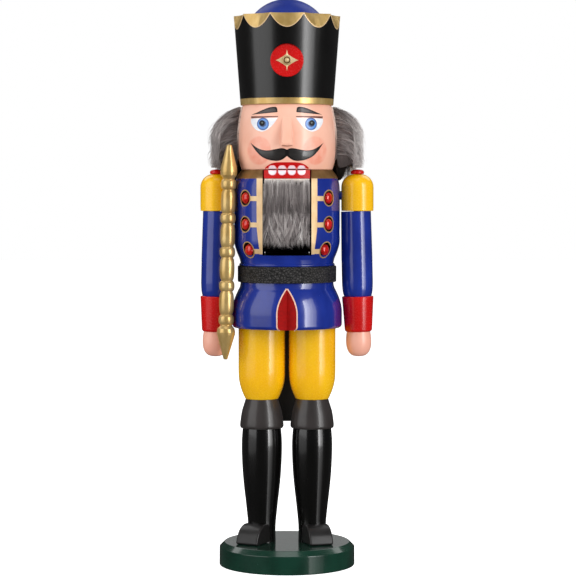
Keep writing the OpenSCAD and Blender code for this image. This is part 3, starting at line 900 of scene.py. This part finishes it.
# ---- lever, jaw and beard ----
def lever():
    """The jaw lever: a board cut to its side view, rounded to the chest in front."""
    half = high("lever").x
    top = high("lever").z - PIVOT_Z
    back = high("lever").y
    foot = low("lever").z - PIVOT_Z
    hub = 13.5
    swing = radians(30)
    chin = (-hub * sin(swing), -hub * cos(swing))
    front = -JAW_R - 1
    outline = [(front, top), (-27, top), (-23, 32), (16, 30), (38, 22), (back, 5), (back, foot),
               (back - 6.7, foot), (back - 6.7, 1 - hub)]
    outline += arc((0, 0), hub, -86, -120, 6)
    outline += [(front, chin[1] + (chin[0] - front) * tan(swing))]
    side_on = moved(-half, 0, PIVOT_Z) @ spun(90) @ spun(90, "X")
    piece = prism("jaw_lever", outline[::-1], 2 * half, [SATIN], side_on)
    plan = arc((0, 0), JAW_R, 180, 360, 48) + [(JAW_R, 60), (-JAW_R, 60)]
    rear = rounded([(half, 100), (-half, 100), (-half, foot, 6), (half, foot, 6), (half, 100)])[:-1]
    combine(piece, [prism("plan", plan, 220, [SATIN], moved(0, 0, 80)),
                    prism("rear", rear, 120, [SATIN], moved(0, 60, PIVOT_Z) @ spun(90, "X"))], "INTERSECT")
    combine(piece, [drill(3.05, -20, 20, moved(0, 0, PIVOT_Z) @ spun(90, "Y"), WOOD)], "DIFFERENCE")
    soften(piece, 0.5)
    fit(shade(piece, 30), LEVER, "black_satin", "lever")


on_jaw = on_round(lambda z: JAW_R)


def jaw_lip():
    """The red lower lip: a cap over the front end of the lever."""
    half = high("lever").x + 0.05
    top = high("lever").z + 0.05
    front = JAW_R + 0.08
    reach = degrees(asin(half / front))
    plan = arc((0, 0), front, -90 - reach, -90 + reach, 32) + [(half, -27.5), (-half, -27.5)]
    piece = prism("jaw_lip", plan, top - COLLAR_Z, [LIP], moved(0, 0, COLLAR_Z))
    soften(piece, 0.18)
    fit(shade(piece, 30), LEVER, "red_lacquer")


def tooth_loop(x, flat_z, round_z, radius):
    """One half of a tooth, flat at one end and rounded at the other."""
    half = copysign(2.75, round_z - flat_z)
    corners = [(x - half, flat_z), (x + half, flat_z), (x + half, round_z, radius),
               (x - half, round_z, radius), (x - half, flat_z)]
    return rounded(corners, 8)[:-1]


def mouth():
    """Lip arc, and four teeth that the mouth line splits between head and jaw."""
    seam_up = NECK_Z + 0.15
    half = 15.6
    steps = 40
    edge = [(half - 2 * half * k / steps,
             NECK_Z + 0.1 + 4.9 * (1 - abs(1 - 2 * k / steps) ** 4.4)) for k in range(steps + 1)]
    lip = [(-half, NECK_Z + 0.05), (half, NECK_Z + 0.05)] + edge[1:-1]
    paint("upper_lip", [lip], on_head, LIP, "red_lacquer")
    for k in range(4):
        x = 6.55 * (k - 1.5)
        upper = tooth_loop(x, seam_up, NECK_Z + 2.95, 2.2)
        lower = tooth_loop(x, NECK_Z - 0.35, NECK_Z - 3.75, 2.4)
        halves = (("upper", upper, on_head, FIGURE, 0.13), ("lower", lower, on_jaw, LEVER, 0.16))
        # Each tooth is a pink rim of painted shade under a white face.
        for part, loop, place, body, lift in halves:
            paint(f"tooth_{part}_{k + 1}", [loop], place, TOOTH_EDGE_SHADE, "skin_lacquer", lift, body)
        for part, loop, place, body, lift in halves:
            paint(f"tooth_face_{part}_{k + 1}", [inset(loop, 0.45)], place, TOOTH, "skin_lacquer",
                  lift + 0.07, body)
        # A charcoal strip on each tooth along the mouth line is painted shade of the gap between head and
        # jaw.
        split = oblong(x - 2.5, seam_up - 0.05, x + 2.5, seam_up + 0.4)
        paint(f"tooth_gap_shade_{k + 1}", [split], on_head, CHARCOAL, "skin_lacquer", 0.27)


def flatten(piece):
    """Gives a beard piece its own copy of its mesh."""
    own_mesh(piece)


def beard():
    """Fur hide on the jaw board, with locks that start at its top and locks that start halfway."""
    half = high("beard").x
    top = high("beard").z
    bottom = low("beard").z
    sheet = oblong(0.3 - half, bottom + 8, half - 0.3, top)
    flatten(paint("beard_hide", [sheet], on_jaw, BEARD_HIDE_SHADED, "grey_fur", 0.9, LEVER, -0.05, 1.6))
    rim = oblong(0.1 - half, top - 0.6, half - 0.1, top + 0.35)
    paint("beard_rim", [rim], on_jaw, FUR_RIM, "grey_fur", 1.1, LEVER, -0.05, 0.8)
    rng = np.random.default_rng(FUR_SEED)
    count = 7000
    locks = 620
    owner = rng.integers(0, locks, count)
    lower = rng.random(locks) < 0.5
    root_x = rng.uniform(-half + 0.3, half - 0.3, locks)
    root_z = np.where(lower, rng.uniform(bottom + 13, bottom + 25, locks),
                      rng.uniform(top - 14, top - 0.2, locks))
    length = np.where(lower, rng.uniform(14, 23, locks), rng.uniform(15, 25, locks))
    swing = np.where(lower, rng.normal(-0.6, 4.2, locks), rng.normal(0, 1.0, locks))
    curl = rng.normal(0, 0.7, locks)
    stand = np.where(lower, 1.6, 0.7) + rng.uniform(0, 1.3, locks)
    tone = np.where(lower, 0.45 + rng.normal(0, 0.2, locks), 0.54 + rng.normal(0, 0.11, locks))
    stray = rng.normal(0, 1, (3, count))
    t = np.linspace(0, 1, 7)[None, :]
    x = root_x[owner][:, None] + stray[0][:, None] * 0.42 * (1 - 0.45 * t)
    x = x + swing[owner][:, None] * t**1.3 + curl[owner][:, None] * np.sin(4.5 * t)
    reach = np.clip(length[owner] + stray[1] * 1.6, 8, 30)
    z0 = np.minimum(root_z[owner] + stray[1] * 0.7, top - 0.2)
    reach = np.maximum(np.minimum(reach, z0 - bottom - 1.8 + 2.0 * stray[2]), 5)
    z = np.maximum(z0[:, None] - reach[:, None] * t, bottom - 2.0)
    puff = 0.5 + stand[owner][:, None] * np.sin(pi * (0.12 + 0.72 * t)) + 0.15 * stray[2][:, None]
    x = np.clip(x, -half - 1.0, half + 0.15)
    radius = np.clip(JAW_R + 0.4 + puff, JAW_R + 0.3, JAW_R + 4.5)
    y = -np.sqrt(radius**2 - x**2)
    paths = np.stack([x, y, z], axis=2)
    widths = rng.uniform(0.15, 0.27, count)[:, None] * (1.05 - 0.8 * t**2)
    tones = (tone[owner] + rng.normal(0, 0.06, count))[:, None] + 0.14 * t * lower[owner][:, None]
    mid = np.exp(-(((z - (top - 19)) / 7.0) ** 2))
    tones = tones - 0.2 * mid * ~lower[owner][:, None]
    pale = np.clip((z - (top - 3.6)) / 3.4, 0, 1) ** 1.5
    tones = np.clip(tones + 0.55 * pale, 0, 1)
    facing = np.tile(np.array([0.0, -1.0, 0.0]), (count, 1))
    piece = fur("beard_fur", paths, widths, tones, facing, FUR)
    flatten(fit(piece, LEVER, "grey_fur", "beard"))


# ---- head ----
def head_profile():
    wall = smooth([(31.75, NECK_Z + 1.6), (33.0, NECK_Z + 5.5), (33.9, NECK_Z + 10.5)]
                  + near(HEAD_R, NECK_Z, (0, 16), (-0.1, 21), (-0.6, 28), (-1.5, 35))
                  + near(HEAD_R, BROW_Z, (-3.2, -1.5), (-3.7, 0)))
    return [(0, NECK_Z), (30.4, NECK_Z)] + arc((30.4, NECK_Z + 1.2), 1.2, -75, -15, 4) + wall + [(0, BROW_Z)]


HEAD = head_profile()
on_head = on_round(lambda z: radius_at(HEAD, z))


def head():
    turned("head_block", HEAD, [SKIN], "skin_lacquer", "head", segments=192)


def nose():
    """A wedge nose, widest where it leaves the face, lofted up to the brow."""
    low_z = low("nose").z
    top_z = BROW_Z - 8.0
    stand = -low("nose").y - radius_at(HEAD, low_z)
    levels = 22
    rows = []
    for k in range(levels + 1):
        t = k / levels
        z = low_z + (top_z - low_z) * t
        face = radius_at(HEAD, z)
        rise = (stand - 1.0 + 1.0 * sin(min(1, t / 0.06) * pi / 2)) * (1 - t) ** 0.95
        ahead = face - 0.5 * t + rise
        root = 4.5 + 0.5 * (1 - t)
        tip = 3.1 + 0.2 * (1 - t)
        section = rounded([(-root, -face + 3.5), (-tip, -ahead, 1.1), (tip, -ahead, 1.1),
                           (root, -face + 3.5)], 6)
        rows.append([(x, y, z) for x, y in section])
    fit(shade(loft("nose_wedge", rows, [SKIN]), 50), FIGURE, "skin_lacquer", "nose")


def blade(upper, lower):
    """A closed outline from an upper and a lower line that share their ends."""
    return lower + upper[::-1][1:-1]


def face_paint():
    """Eyes, brows, moustache and a painted shadow under the nose, painted on the right and mirrored to the
    left.
    """
    white = smooth([(-24.3, 307.6), (-24.4, 305.2), (-22.4, 301.4), (-19.6, 299.3), (-16.6, 298.7),
                    (-12.8, 300.2), (-9.2, 303.6), (-6.1, 307.9)], 5)
    ball = ellipse((-EYE_X, EYE_Z), 4.05, 4.25)
    pupil = ellipse((-16.9, 304.4), 1.95, 2.0, 24)
    glint = ellipse((-16.7, 304.6), 0.6, 0.6, 12)
    lid = smooth([(-24.1, 307.75), (-15, 308.15), (-6.1, 308.4)], 5) + smooth(
        [(-6.1, 309.0), (-15, 309.05), (-24.3, 309.1)], 5)
    # The stripe under the nose is painted shadow.
    shadow = smooth([(-3.6, 289.0), (-1.8, 288.7), (0, 288.6)], 4) + [(0, 288.95), (-3.4, 289.2)]
    brow_top = smooth([(-23.9, 310.3), (-20.4, 311.6), (-16.6, 313.2), (-12.6, 314.7), (-9.2, 315.3),
                       (-6.9, 314.8), (-6.3, 311.7)], 5)
    brow_low = smooth([(-23.9, 310.3), (-18, 310.7), (-12, 311.2), (-6.3, 311.7)], 5)
    fill_top = smooth([(-19.6, 311.1), (-16.4, 312.4), (-12.6, 313.8), (-9.6, 314.3), (-7.9, 313.9),
                       (-7.2, 312.2)], 5)
    fill_low = smooth([(-19.6, 311.1), (-14, 311.6), (-7.2, 312.2)], 5)
    lash_top = smooth([(0.25, 286.2), (-1.8, 287.2), (-4.2, 287.4), (-8.4, 286.6), (-13.2, 285.9),
                       (-17.6, 286.6), (-21.2, 288.4), (-24.7, 291.2)], 6)
    lash_low = smooth([(0.25, 282.4), (-2.2, 280.4), (-4.8, 279.2), (-7.7, 278.9), (-12.2, 279.6),
                       (-16.9, 281.7), (-20.8, 285.4), (-24.7, 291.2)], 6)
    core_top = smooth([(-1.2, 285.9), (-4.2, 286.6), (-8.4, 285.9), (-13.2, 285.2), (-17.4, 285.9),
                       (-20.8, 287.9)], 6)
    core_low = smooth([(-1.2, 282.6), (-4.8, 280.1), (-7.8, 279.8), (-12.0, 280.5), (-16.6, 282.6),
                       (-20.8, 287.9)], 6)
    moustache = lash_low + lash_top[::-1][1:]
    core = [core_top[0]] + core_low + core_top[::-1][1:-1]
    shapes = (
        ("eye_white", white, EYE_WHITE, PAINT), ("iris", ball, IRIS, 0.09),
        ("pupil", pupil, PUPIL, 0.12), ("eye_glint", glint, GLINT, 0.15),
        ("lid_line", lid, LID, 0.15), ("painted_nose_shadow", shadow, NOSE_SHADOW, PAINT),
        ("brow_edge", blade(brow_top, brow_low), INK, PAINT),
        ("brow_fill", blade(fill_top, fill_low), BROW_GREY, 0.1),
        ("moustache_edge", moustache, INK, PAINT), ("moustache_fill", core, CHARCOAL, 0.1))
    for label, loop, mat, lift in shapes:
        paint(f"{label}_right", [loop], on_head, mat, "skin_lacquer", lift)
        paint(f"{label}_left", [mirrored(loop)], on_head, mat, "skin_lacquer", lift)


# ---- hair ----
def sector(name, profile, start, end, mat, steps=72, rough=0.0, sharp=60, nodes=()):
    """A closed profile of (radius, height) swept round the head from one azimuth to another."""
    rings = []
    for k in range(steps + 1):
        a = radians(start + (end - start) * k / steps)
        ring = []
        for radius, height in profile:
            spot = polar(radius, a, height)
            swell = rough * noise.noise(spot / 7.0) + rough * 0.6 * noise.noise(spot / 2.6)
            ring.append(spot + polar(1, a, 0) * swell)
        rings.append(ring)
    fit(shade(loft(name, rings, [mat]), sharp), FIGURE, "grey_fur", *nodes)


def hair_undercoat():
    """The hide that the hair grows from and the dense fur under the long hair, both darker low down as
    painted shade under the fur, and the nape, painted dark as shade behind the head.
    """
    lowest = low("hair").z
    band = [(radius_at(HEAD, z) - 0.1, z) for z in np.linspace(lowest + 6, BROW_Z - 1.2, 12)]
    sector("hair_hide", band[::-1] + [(r + 1.2, z) for r, z in band], 76.8, 283.2, HAIR_HIDE_SHADED, sharp=35)
    loop = near(0, lowest, (35.2, 2), (41, 1.6), (45.5, 4), (47.6, 10), (47.6, 20), (45, 28), (41, 34),
                (36.5, 39), (33.5, 40), (34, 22))
    sector("hair_undercoat", smooth(loop, 4, closed=True), 80, 280, UNDERCOAT_SHADED, 110, 1.3, nodes=["hair"])
    # The nape is a dark fur piece standing for the shade behind the head and shoulders.
    nape = near(0, lowest, (36.4, 8), (36.4, -2), (36.8, -7.5), (39.5, -8), (42.5, -3), (44, 8))
    sector("hair_nape", smooth(nape, 3, closed=True), 109, 251, NAPE_SHADE, 90, 0.5)


def hair_reach(z):
    """How far out the hair stands at height z: nothing at the brow, widest at the ear."""
    lowest = low("hair").z
    widest = high("hair").x
    heights = [lowest + h for h in (-3, 2, 11, 22, 27, 30, 34, 38, 42)]
    return np.interp(z, heights, [widest - d for d in (1.5, 0.3, 0, 0, 1.3, 3.1, 6.2, 11.6, 19.6)])


def hair(name, start, end, count, seed):
    """Long fur that leaves the head outwards in locks and falls."""
    rng = np.random.default_rng(seed)
    lowest = low("hair").z
    locks = count // 13
    owner = rng.integers(0, locks, count)
    seat = rng.uniform(start, end, locks)[owner]
    level = rng.random(locks)[owner]
    push, fall, swing, tone = rng.normal(0, 1, (4, locks))[:, owner]
    stray = rng.normal(0, 1, (4, count))
    t = np.linspace(0, 1, 6)[None, :]
    z0 = lowest + 9 + (BROW_Z - 1.6 - lowest - 9) * level**0.8 + stray[0] * 0.8
    z0 = np.minimum(z0, BROW_Z - 1.2)
    inner = radius_at(HEAD, NECK_Z + 30) - 1.5
    start_at = inner + rng.random(count) * 3.0
    reach = 54.5 - start_at + push * 1.6 + stray[1] * 0.8
    reach = reach * rng.choice([1.0, 0.92, 0.8], count, p=[0.5, 0.3, 0.2])
    drop = np.minimum(16 + fall * 5.0 + stray[2] * 1.6, z0 - lowest + 8.0)
    radius = start_at[:, None] + reach[:, None] * (1 - (1 - t) ** 1.45)
    z = z0[:, None] - drop[:, None] * t**1.7
    thinning = 9.0 * rng.random(count) ** 0.36 - 2.6
    edge = hair_reach(z) - thinning[:, None]
    radius = np.minimum(radius, edge)
    turn = seat[:, None] + stray[0][:, None] * 1.3 * (1 - 0.5 * t) + swing[:, None] * 5.5 * t**1.3
    turn = np.radians(np.clip(turn, 76, 284))
    x = radius * np.sin(turn)
    y = np.minimum(-radius * np.cos(turn), high("hair").y - 0.1)
    over_shoulder = (np.abs(x) > 39) & (np.abs(y) < 13)
    floor_z = np.where(y > 14, lowest - 8.5, lowest - 4.5)
    z = np.maximum(z, np.where(over_shoulder, lowest + 0.4, floor_z))
    paths = np.stack([x, y, z], axis=2)
    widths = rng.uniform(0.2, 0.36, count)[:, None] * (1.05 - 0.85 * t**2)
    shade_of = 0.35 + tone * 0.13 + rng.normal(0, 0.06, count)
    # The hair on the figure's left (+X) is painted lighter and on its right darker: painted light and shade
    # from the side.
    tones = np.clip((shade_of + 0.03 + 0.11 * np.sin(np.radians(seat)))[:, None] + 0.5 * t**2.5, 0, 1)
    around = np.radians(seat)
    facing = np.stack([np.sin(around), -np.cos(around), np.full(count, 0.3)], axis=1)
    piece = fur(f"hair_{name}", paths, widths, tones, facing, FUR)
    fit(piece, FIGURE, "grey_fur")


# ---- crown ----
def crown_wall(z):
    return BROW_R + (RIM_R - BROW_R) * (z - BROW_Z) / (RIM_Z - BROW_Z)


FLUTES = 10
FLUTE_H = 9.2
FLUTE_DEPTH = 4.0


def flute_shape():
    """The radius of the round cutter, how far its axis stands off at the rim, and its lean."""
    half = RIM_R * sin(pi / FLUTES)
    sag = FLUTE_DEPTH - (RIM_R - RIM_R * cos(pi / FLUTES))
    radius = (half * half + sag * sag) / (2 * sag)
    lean = atan((crown_wall(RIM_Z - FLUTE_H) - RIM_R + FLUTE_DEPTH) / FLUTE_H)
    return radius, RIM_R - FLUTE_DEPTH + radius / cos(lean), lean


def flute_place(index):
    _, top, lean = flute_shape()
    return spun(360 * index / FLUTES) @ moved(0, -top, RIM_Z) @ spun(-degrees(lean), "X")


def crown():
    """A black, flared crown whose rim is scooped into gold flutes."""
    recess_z = low("crown_dome").z
    wall = [(BROW_R + 0.02, BROW_Z + 0.3), (crown_wall(BAND_Z), BAND_Z), (RIM_R, RIM_Z)]
    inner = [(31.2, RIM_Z), (30.8, recess_z), (0, recess_z)]
    profile = [(0, BROW_Z), (BROW_R - 0.2, BROW_Z)] + wall + inner
    piece = lathe("crown_body", profile, [CROWN_BLACK, GOLD], bands=[(BROW_Z - 1, BAND_Z, 1)], segments=240)
    radius = flute_shape()[0]
    cutters = [drill(radius, -30, 30, flute_place(k), GOLD, 240) for k in range(FLUTES)]
    seat = moved(0, -31, middle("crown_badge").z) @ spun(90, "X")
    cutters.append(drill(11.25, 0, 12, seat, CROWN_BLACK, 72))
    combine(piece, cutters, "DIFFERENCE")
    fit(shade(piece, 25), FIGURE, "black_lacquer", "crown")


def on_crown(turn):
    def place(azimuth_length, z, lift):
        return spun(turn) @ polar(crown_wall(z) + lift, azimuth_length / RIM_R, z)

    return place


def flute_edge():
    """The line where one flute meets the crown's wall, in arc length and height."""
    cutter = flute_place(0).inverted()
    radius = flute_shape()[0]
    line = []
    limit = RIM_R * pi / FLUTES
    for k in range(33):
        across = limit * (1 - 2 * k / 32) * 0.995
        a = across / RIM_R
        above, below = RIM_Z + 2, RIM_Z - 2 * FLUTE_H
        for _ in range(24):
            z = (above + below) / 2
            wall = crown_wall(z)
            spot = cutter @ Vector((wall * sin(a), -wall * cos(a), z))
            if hypot(spot.x, spot.y) < radius:
                above = z
            else:
                below = z
        line.append((across, min(above, RIM_Z - 0.05)))
    return line


def crown_trim_and_highlight():
    """The pale gold edge painted round each flute, brighter than the flute's gold: partly gold paint lapping
    over the edge, partly a painted highlight of the edge.
    """
    loop = stripe(flute_edge(), 0.55)
    for k in range(FLUTES):
        paint(f"flute_edge_{k + 1}", [loop], on_crown(360 * k / FLUTES), TRIM, "gold_lacquer", 0.05,
              spacing=0.5)


def crown_dome():
    radius = high("crown_dome").x
    centre_z = high("crown_dome").z - radius
    start = low("crown_dome").z
    foot = degrees(asin((start - centre_z) / radius))
    profile = [(0, start)] + arc((0, centre_z), radius, foot, 90, 40)
    profile[-1] = (0, profile[-1][1])
    turned("crown_dome_ball", profile, [DOME_BLUE], "blue_lacquer", "crown_dome", segments=144)


def badge():
    """A red disc with a plain four-pointed brass star and its pin."""
    place = moved(0, high("crown_badge").y, middle("crown_badge").z) @ spun(90, "X")
    radius = high("crown_badge").x
    depth = high("crown_badge").y - low("crown_badge").y
    disc = rounded([(0, 0), (radius, 0), (radius, depth, 0.5), (0, depth)], 4)
    turned("badge_disc", disc, [RED], "red_lacquer", "crown_badge", place, sharp=35)
    reach = high("crown_star").x
    quarter = [(reach + 0.2, 0), (6.6, 0.35), (5.6, 0.8), (2.8, 2.5), (0.9, 3.8), (0.35, 4.5),
               (0, reach - 0.3)]
    upper = quarter + mirrored(quarter)[1:]
    star = upper + [(-a, -b) for a, b in upper[1:-1]]
    count = len(star)
    points = [(a, b, depth) for a, b in star] + [(a, b, depth + 0.35) for a, b in star]
    points.append((0, 0, depth + 0.75))
    faces = [list(range(count))[::-1]]
    faces += [[k, (k + 1) % count, count + (k + 1) % count, count + k] for k in range(count)]
    faces += [[count + k, count + (k + 1) % count, 2 * count] for k in range(count)]
    piece = make("badge_star", [place @ Vector(p) for p in points], faces, [BRASS])
    fit(shade(piece, 25), FIGURE, "star_brass", "crown_star")
    outside = smooth(near(0, depth, (3.1, 0.3), (3.1, 0.9), (2.8, 1.45), (2.45, 1.5)), 4)
    button = smooth(near(0, depth, (1.65, 1.0), (1.5, 1.4), (1.0, 2.4), (0, 2.65)), 4)
    # The groove between the boss's ring and button is painted darker gold as shade.
    turned("badge_boss", [(0, depth + 0.3)] + outside + [(2.2, depth + 1.0)] + button, [BRASS, COLLAR_GOLD_SHADED],
           "star_brass", "star_pin", place, 60, [(depth + 0.98, depth + 1.3, 1)], 48)


# ---- arms ----
def arm(name, side):
    """Epaulette, its red cap, sleeve, cuff and hand, down a line that leans out from the shoulder."""
    shoulder = moved(side * SHOULDER_X, 0, 0)
    radius = high("epaulette_left").x - SHOULDER_X
    top = high("epaulette_left").z
    epaulette = rounded([(0, SLEEVE_Z), (radius - 0.1, SLEEVE_Z, 0.4), (radius, SLEEVE_Z + 3),
                         (radius, top, 9), (0, top)], 12)
    turned(f"epaulette_dome_{name}", epaulette, [YELLOW], "yellow_lacquer", f"epaulette_{name}", shoulder)
    cap = [(0, top)] + near(0, top, (4.2, 0)) + smooth(
        near(0, top, (4.45, 0.4), (4.55, 1.3), (4.0, 2.4), (2.6, 3.0), (0, 3.2)), 4)
    turned(f"shoulder_bead_{name}", cap, [RED], "red_lacquer", f"shoulder_cap_{name}", shoulder, 60,
           segments=48)
    line = moved(side * 47.5, 0, SLEEVE_Z) @ spun(-side * 1.3, "Y")
    length = 58.9
    sleeve = near(0, -length, (0, 0), (9.3, 0)) + smooth(
        near(0, -length, (9.5, 0.3), (10.2, 3), (10.6, 7.5), (10.7, 13)) + [(10.65, -28), (10.3, -0.35)], 6)
    turned(f"sleeve_tube_{name}", sleeve + [(0, -0.35)], [BLUE], "blue_lacquer", f"sleeve_{name}", line)
    wrist = 24.5
    foot = -length - wrist
    cuff = rounded([(0, foot), (9.35, foot, 1.8), (10.9, -length, 0.5), (9.6, -length, 0.4),
                    (9.4, -length - 0.8), (0, -length - 0.8)], 5)
    turned(f"cuff_{name}_turned", cuff, [RED], "red_lacquer", f"cuff_{name}", line)
    palm = near(0, foot, (0, -17.2), (4.2, -16.5), (6.7, -14.5), (8.1, -11.6), (8.65, -8.6), (8.7, -5.4),
                (8.45, -2.0), (8.1, 0))
    turned(f"hand_ball_{name}", smooth(palm, 5) + [(0, foot)], [HAND_SKIN], "skin_lacquer",
           f"hand_{name}", line)


# ---- sceptre ----
def bead(z, half_h, radius, neck, steps=12):
    """One turned bead between two necks."""
    spots = [-1 + 2 * k / steps for k in range(steps + 1)]
    return [(neck + (radius - neck) * (1 - abs(t) ** 2.4) ** 0.62, z + half_h * t) for t in spots]


def sceptre():
    """Round and long beads between a pointed foot and a coned top."""
    height = 147.3
    neck = 4.05
    first = 27.3
    pitch = 23.1
    last = first + 4 * pitch
    profile = rounded([(0, 0), (1.3, 0.1, 0.6), (6.1, 17.0, 2.0), (6.38, 18.8, 0.7), (5.8, 21.3, 0.8),
                       (neck, 23.4)], 4)
    for k in range(5):
        profile += bead(first + k * pitch, 3.5, 5.3, neck)
        if k < 4:
            profile += bead(first + (k + 0.5) * pitch, pitch / 2 - 3.9, 5.1, neck, 16)
    profile += rounded([(neck, last + 4.2), (5.5, last + 6.3, 0.8), (5.8, last + 8.6, 1.2),
                        (5.45, last + 12.0, 3.0), (1.75, height - 0.9, 0.7), (0, height)], 4)
    place = moved(-39.3, -15, high("sceptre").z) @ spun(1.09, "Y") @ moved(0, 0, -height)
    turned("sceptre_rod", profile, [GOLD], "gold_lacquer", "sceptre", place, 40, segments=72)


# ---- CAD nodes that stay ----
def carry_over():
    """Gives the carried-over joinery its finish."""
    wooden = ("base_dowels", "knee_dowels", "hip_dowels", "neck_dowels", "crown_dowel", "arm_dowels",
              "wrist_dowels", "sceptre_peg")
    finishes = dict.fromkeys(wooden, WOOD)
    finishes.update({"shoulder_dowels": BLUE, "pivot_pin": STEEL, "pin_plugs": BLUE})
    for node, mat in finishes.items():
        mesh = frame["nodes"][node].data
        mesh.materials.clear()
        mesh.materials.append(mat)


# ---- studio ----
def softbox(name, azimuth, distance, width, height, z, radiance, aim_z=None, gloss=True):
    """A rectangular light that faces the figure's axis from an azimuth."""
    light = bpy.data.lights.new(name, "AREA")
    light.shape = "RECTANGLE"
    light.size = width
    light.size_y = height
    light.energy = radiance * pi * width * height
    lamp = placed(name, light)
    lamp.location = polar(distance, radians(azimuth), z)
    aim = Vector((0, 0, z if aim_z is None else aim_z)) - lamp.location
    lamp.rotation_euler = aim.to_track_quat("-Z", "Y").to_euler()
    lamp.visible_camera = False
    lamp.visible_glossy = gloss


def world():
    """White to the camera, grey for fill light and nearly dark in reflections."""
    sky = bpy.data.worlds.new("studio")
    bpy.context.scene.world = sky
    sky.use_nodes = True
    tree = sky.node_tree
    tree.nodes.clear()
    ray = add(tree, "ShaderNodeLightPath").outputs
    fill = add(tree, "ShaderNodeMapRange", {"To Min": 0.5, "To Max": 0.035},
               {"Value": ray["Is Glossy Ray"]}).outputs["Result"]
    level = add(tree, "ShaderNodeMapRange", {"To Max": 1.0},
                {"Value": ray["Is Camera Ray"], "To Min": fill}).outputs["Result"]
    back = add(tree, "ShaderNodeBackground", {"Color": (1, 1, 1, 1)}, {"Strength": level})
    add(tree, "ShaderNodeOutputWorld", links={"Surface": back.outputs[0]})


def floor():
    reach = 6000
    plane = make("floor", [(-reach, -reach, 0), (reach, -reach, 0), (reach, reach, 0), (-reach, reach, 0)],
                 [[0, 1, 2, 3]], [floor_finish("pale_floor")])
    plane.visible_glossy = False
    plane.visible_diffuse = False


def reflector():
    """A pale card behind the figure, which only reflections see."""
    glow = Finish("card_glow").done(Base_Color=(0, 0, 0, 1), Emission_Color=(1, 1, 1, 1),
                                    Emission_Strength=0.3)
    card = make("card", [(-260, 1500, 120), (260, 1500, 120), (260, 1500, 420), (-260, 1500, 420)],
                [[0, 1, 2, 3]], [glow])
    card.visible_camera = False
    card.visible_diffuse = False
    card.visible_shadow = False


def studio():
    panels = ((39.5, 0.115, 9.5), (45.0, 0.135, 6.0), (51.8, 0.175, 3.6), (59.4, 0.175, 2.2))
    for k, (azimuth, width, radiance) in enumerate(panels):
        softbox(f"panel_right_{k + 1}", azimuth, 1.3, width, 1.1, 0.5, radiance)
        softbox(f"panel_right_low_{k + 1}", azimuth, 1.3, width, 0.55, -0.33, 0.13 * radiance)
    softbox("box_left", -57, 1.3, 1.2, 1.6, 0.9, 1.35)
    softbox("box_left_low", -57, 1.3, 1.2, 0.23, -0.015, 0.5)
    softbox("front_fill", -10, 1.6, 1.2, 1.2, 0.5, 0.4, aim_z=0.2, gloss=False)
    softbox("left_fill", -78, 1.4, 1.0, 1.2, 0.5, 0.75, aim_z=0.2, gloss=False)
    softbox("box_top", 0, 0.3, 0.7, 0.7, 1.7, 1.4, aim_z=0.3)
    for side in (LEFT, RIGHT):
        softbox(f"box_back_{side}", side * 140, 1.1, 0.9, 0.9, 1.3, 1.6, aim_z=0.3)
    world()
    floor()
    reflector()
    bpy.context.scene.view_settings.view_transform = "Standard"


def camera():
    eye = bpy.data.cameras.new("camera")
    eye.sensor_width = 36
    eye.lens = 134.5
    holder = placed("camera", eye)
    holder.location = (0.0007, -1.484, 0.2624)
    holder.rotation_euler = (radians(90 - 2.73), 0, 0)
    bpy.context.scene.camera = holder


# ---- assembly ----
base()
for label, direction in SIDES.items():
    boot(label, direction)
    toe(label, direction)
    trouser(label, direction)
torso()
for label, direction in SIDES.items():
    coat_trim(label, direction)
    buttons(label, direction)
belt()
lever()
jaw_lip()
mouth()
beard()
head()
nose()
face_paint()
hair_undercoat()
PATCHES = (("right", 238, 281), ("back_right", 180, 240), ("back_left", 120, 180), ("left", 79, 122))
for number, (label, first, last) in enumerate(PATCHES):
    hair(label, first, last, 7000, FUR_SEED + 1 + number)
crown()
crown_trim_and_highlight()
crown_dome()
badge()
for label, direction in SIDES.items():
    arm(label, direction)
sceptre()
carry_over()
studio()
camera()
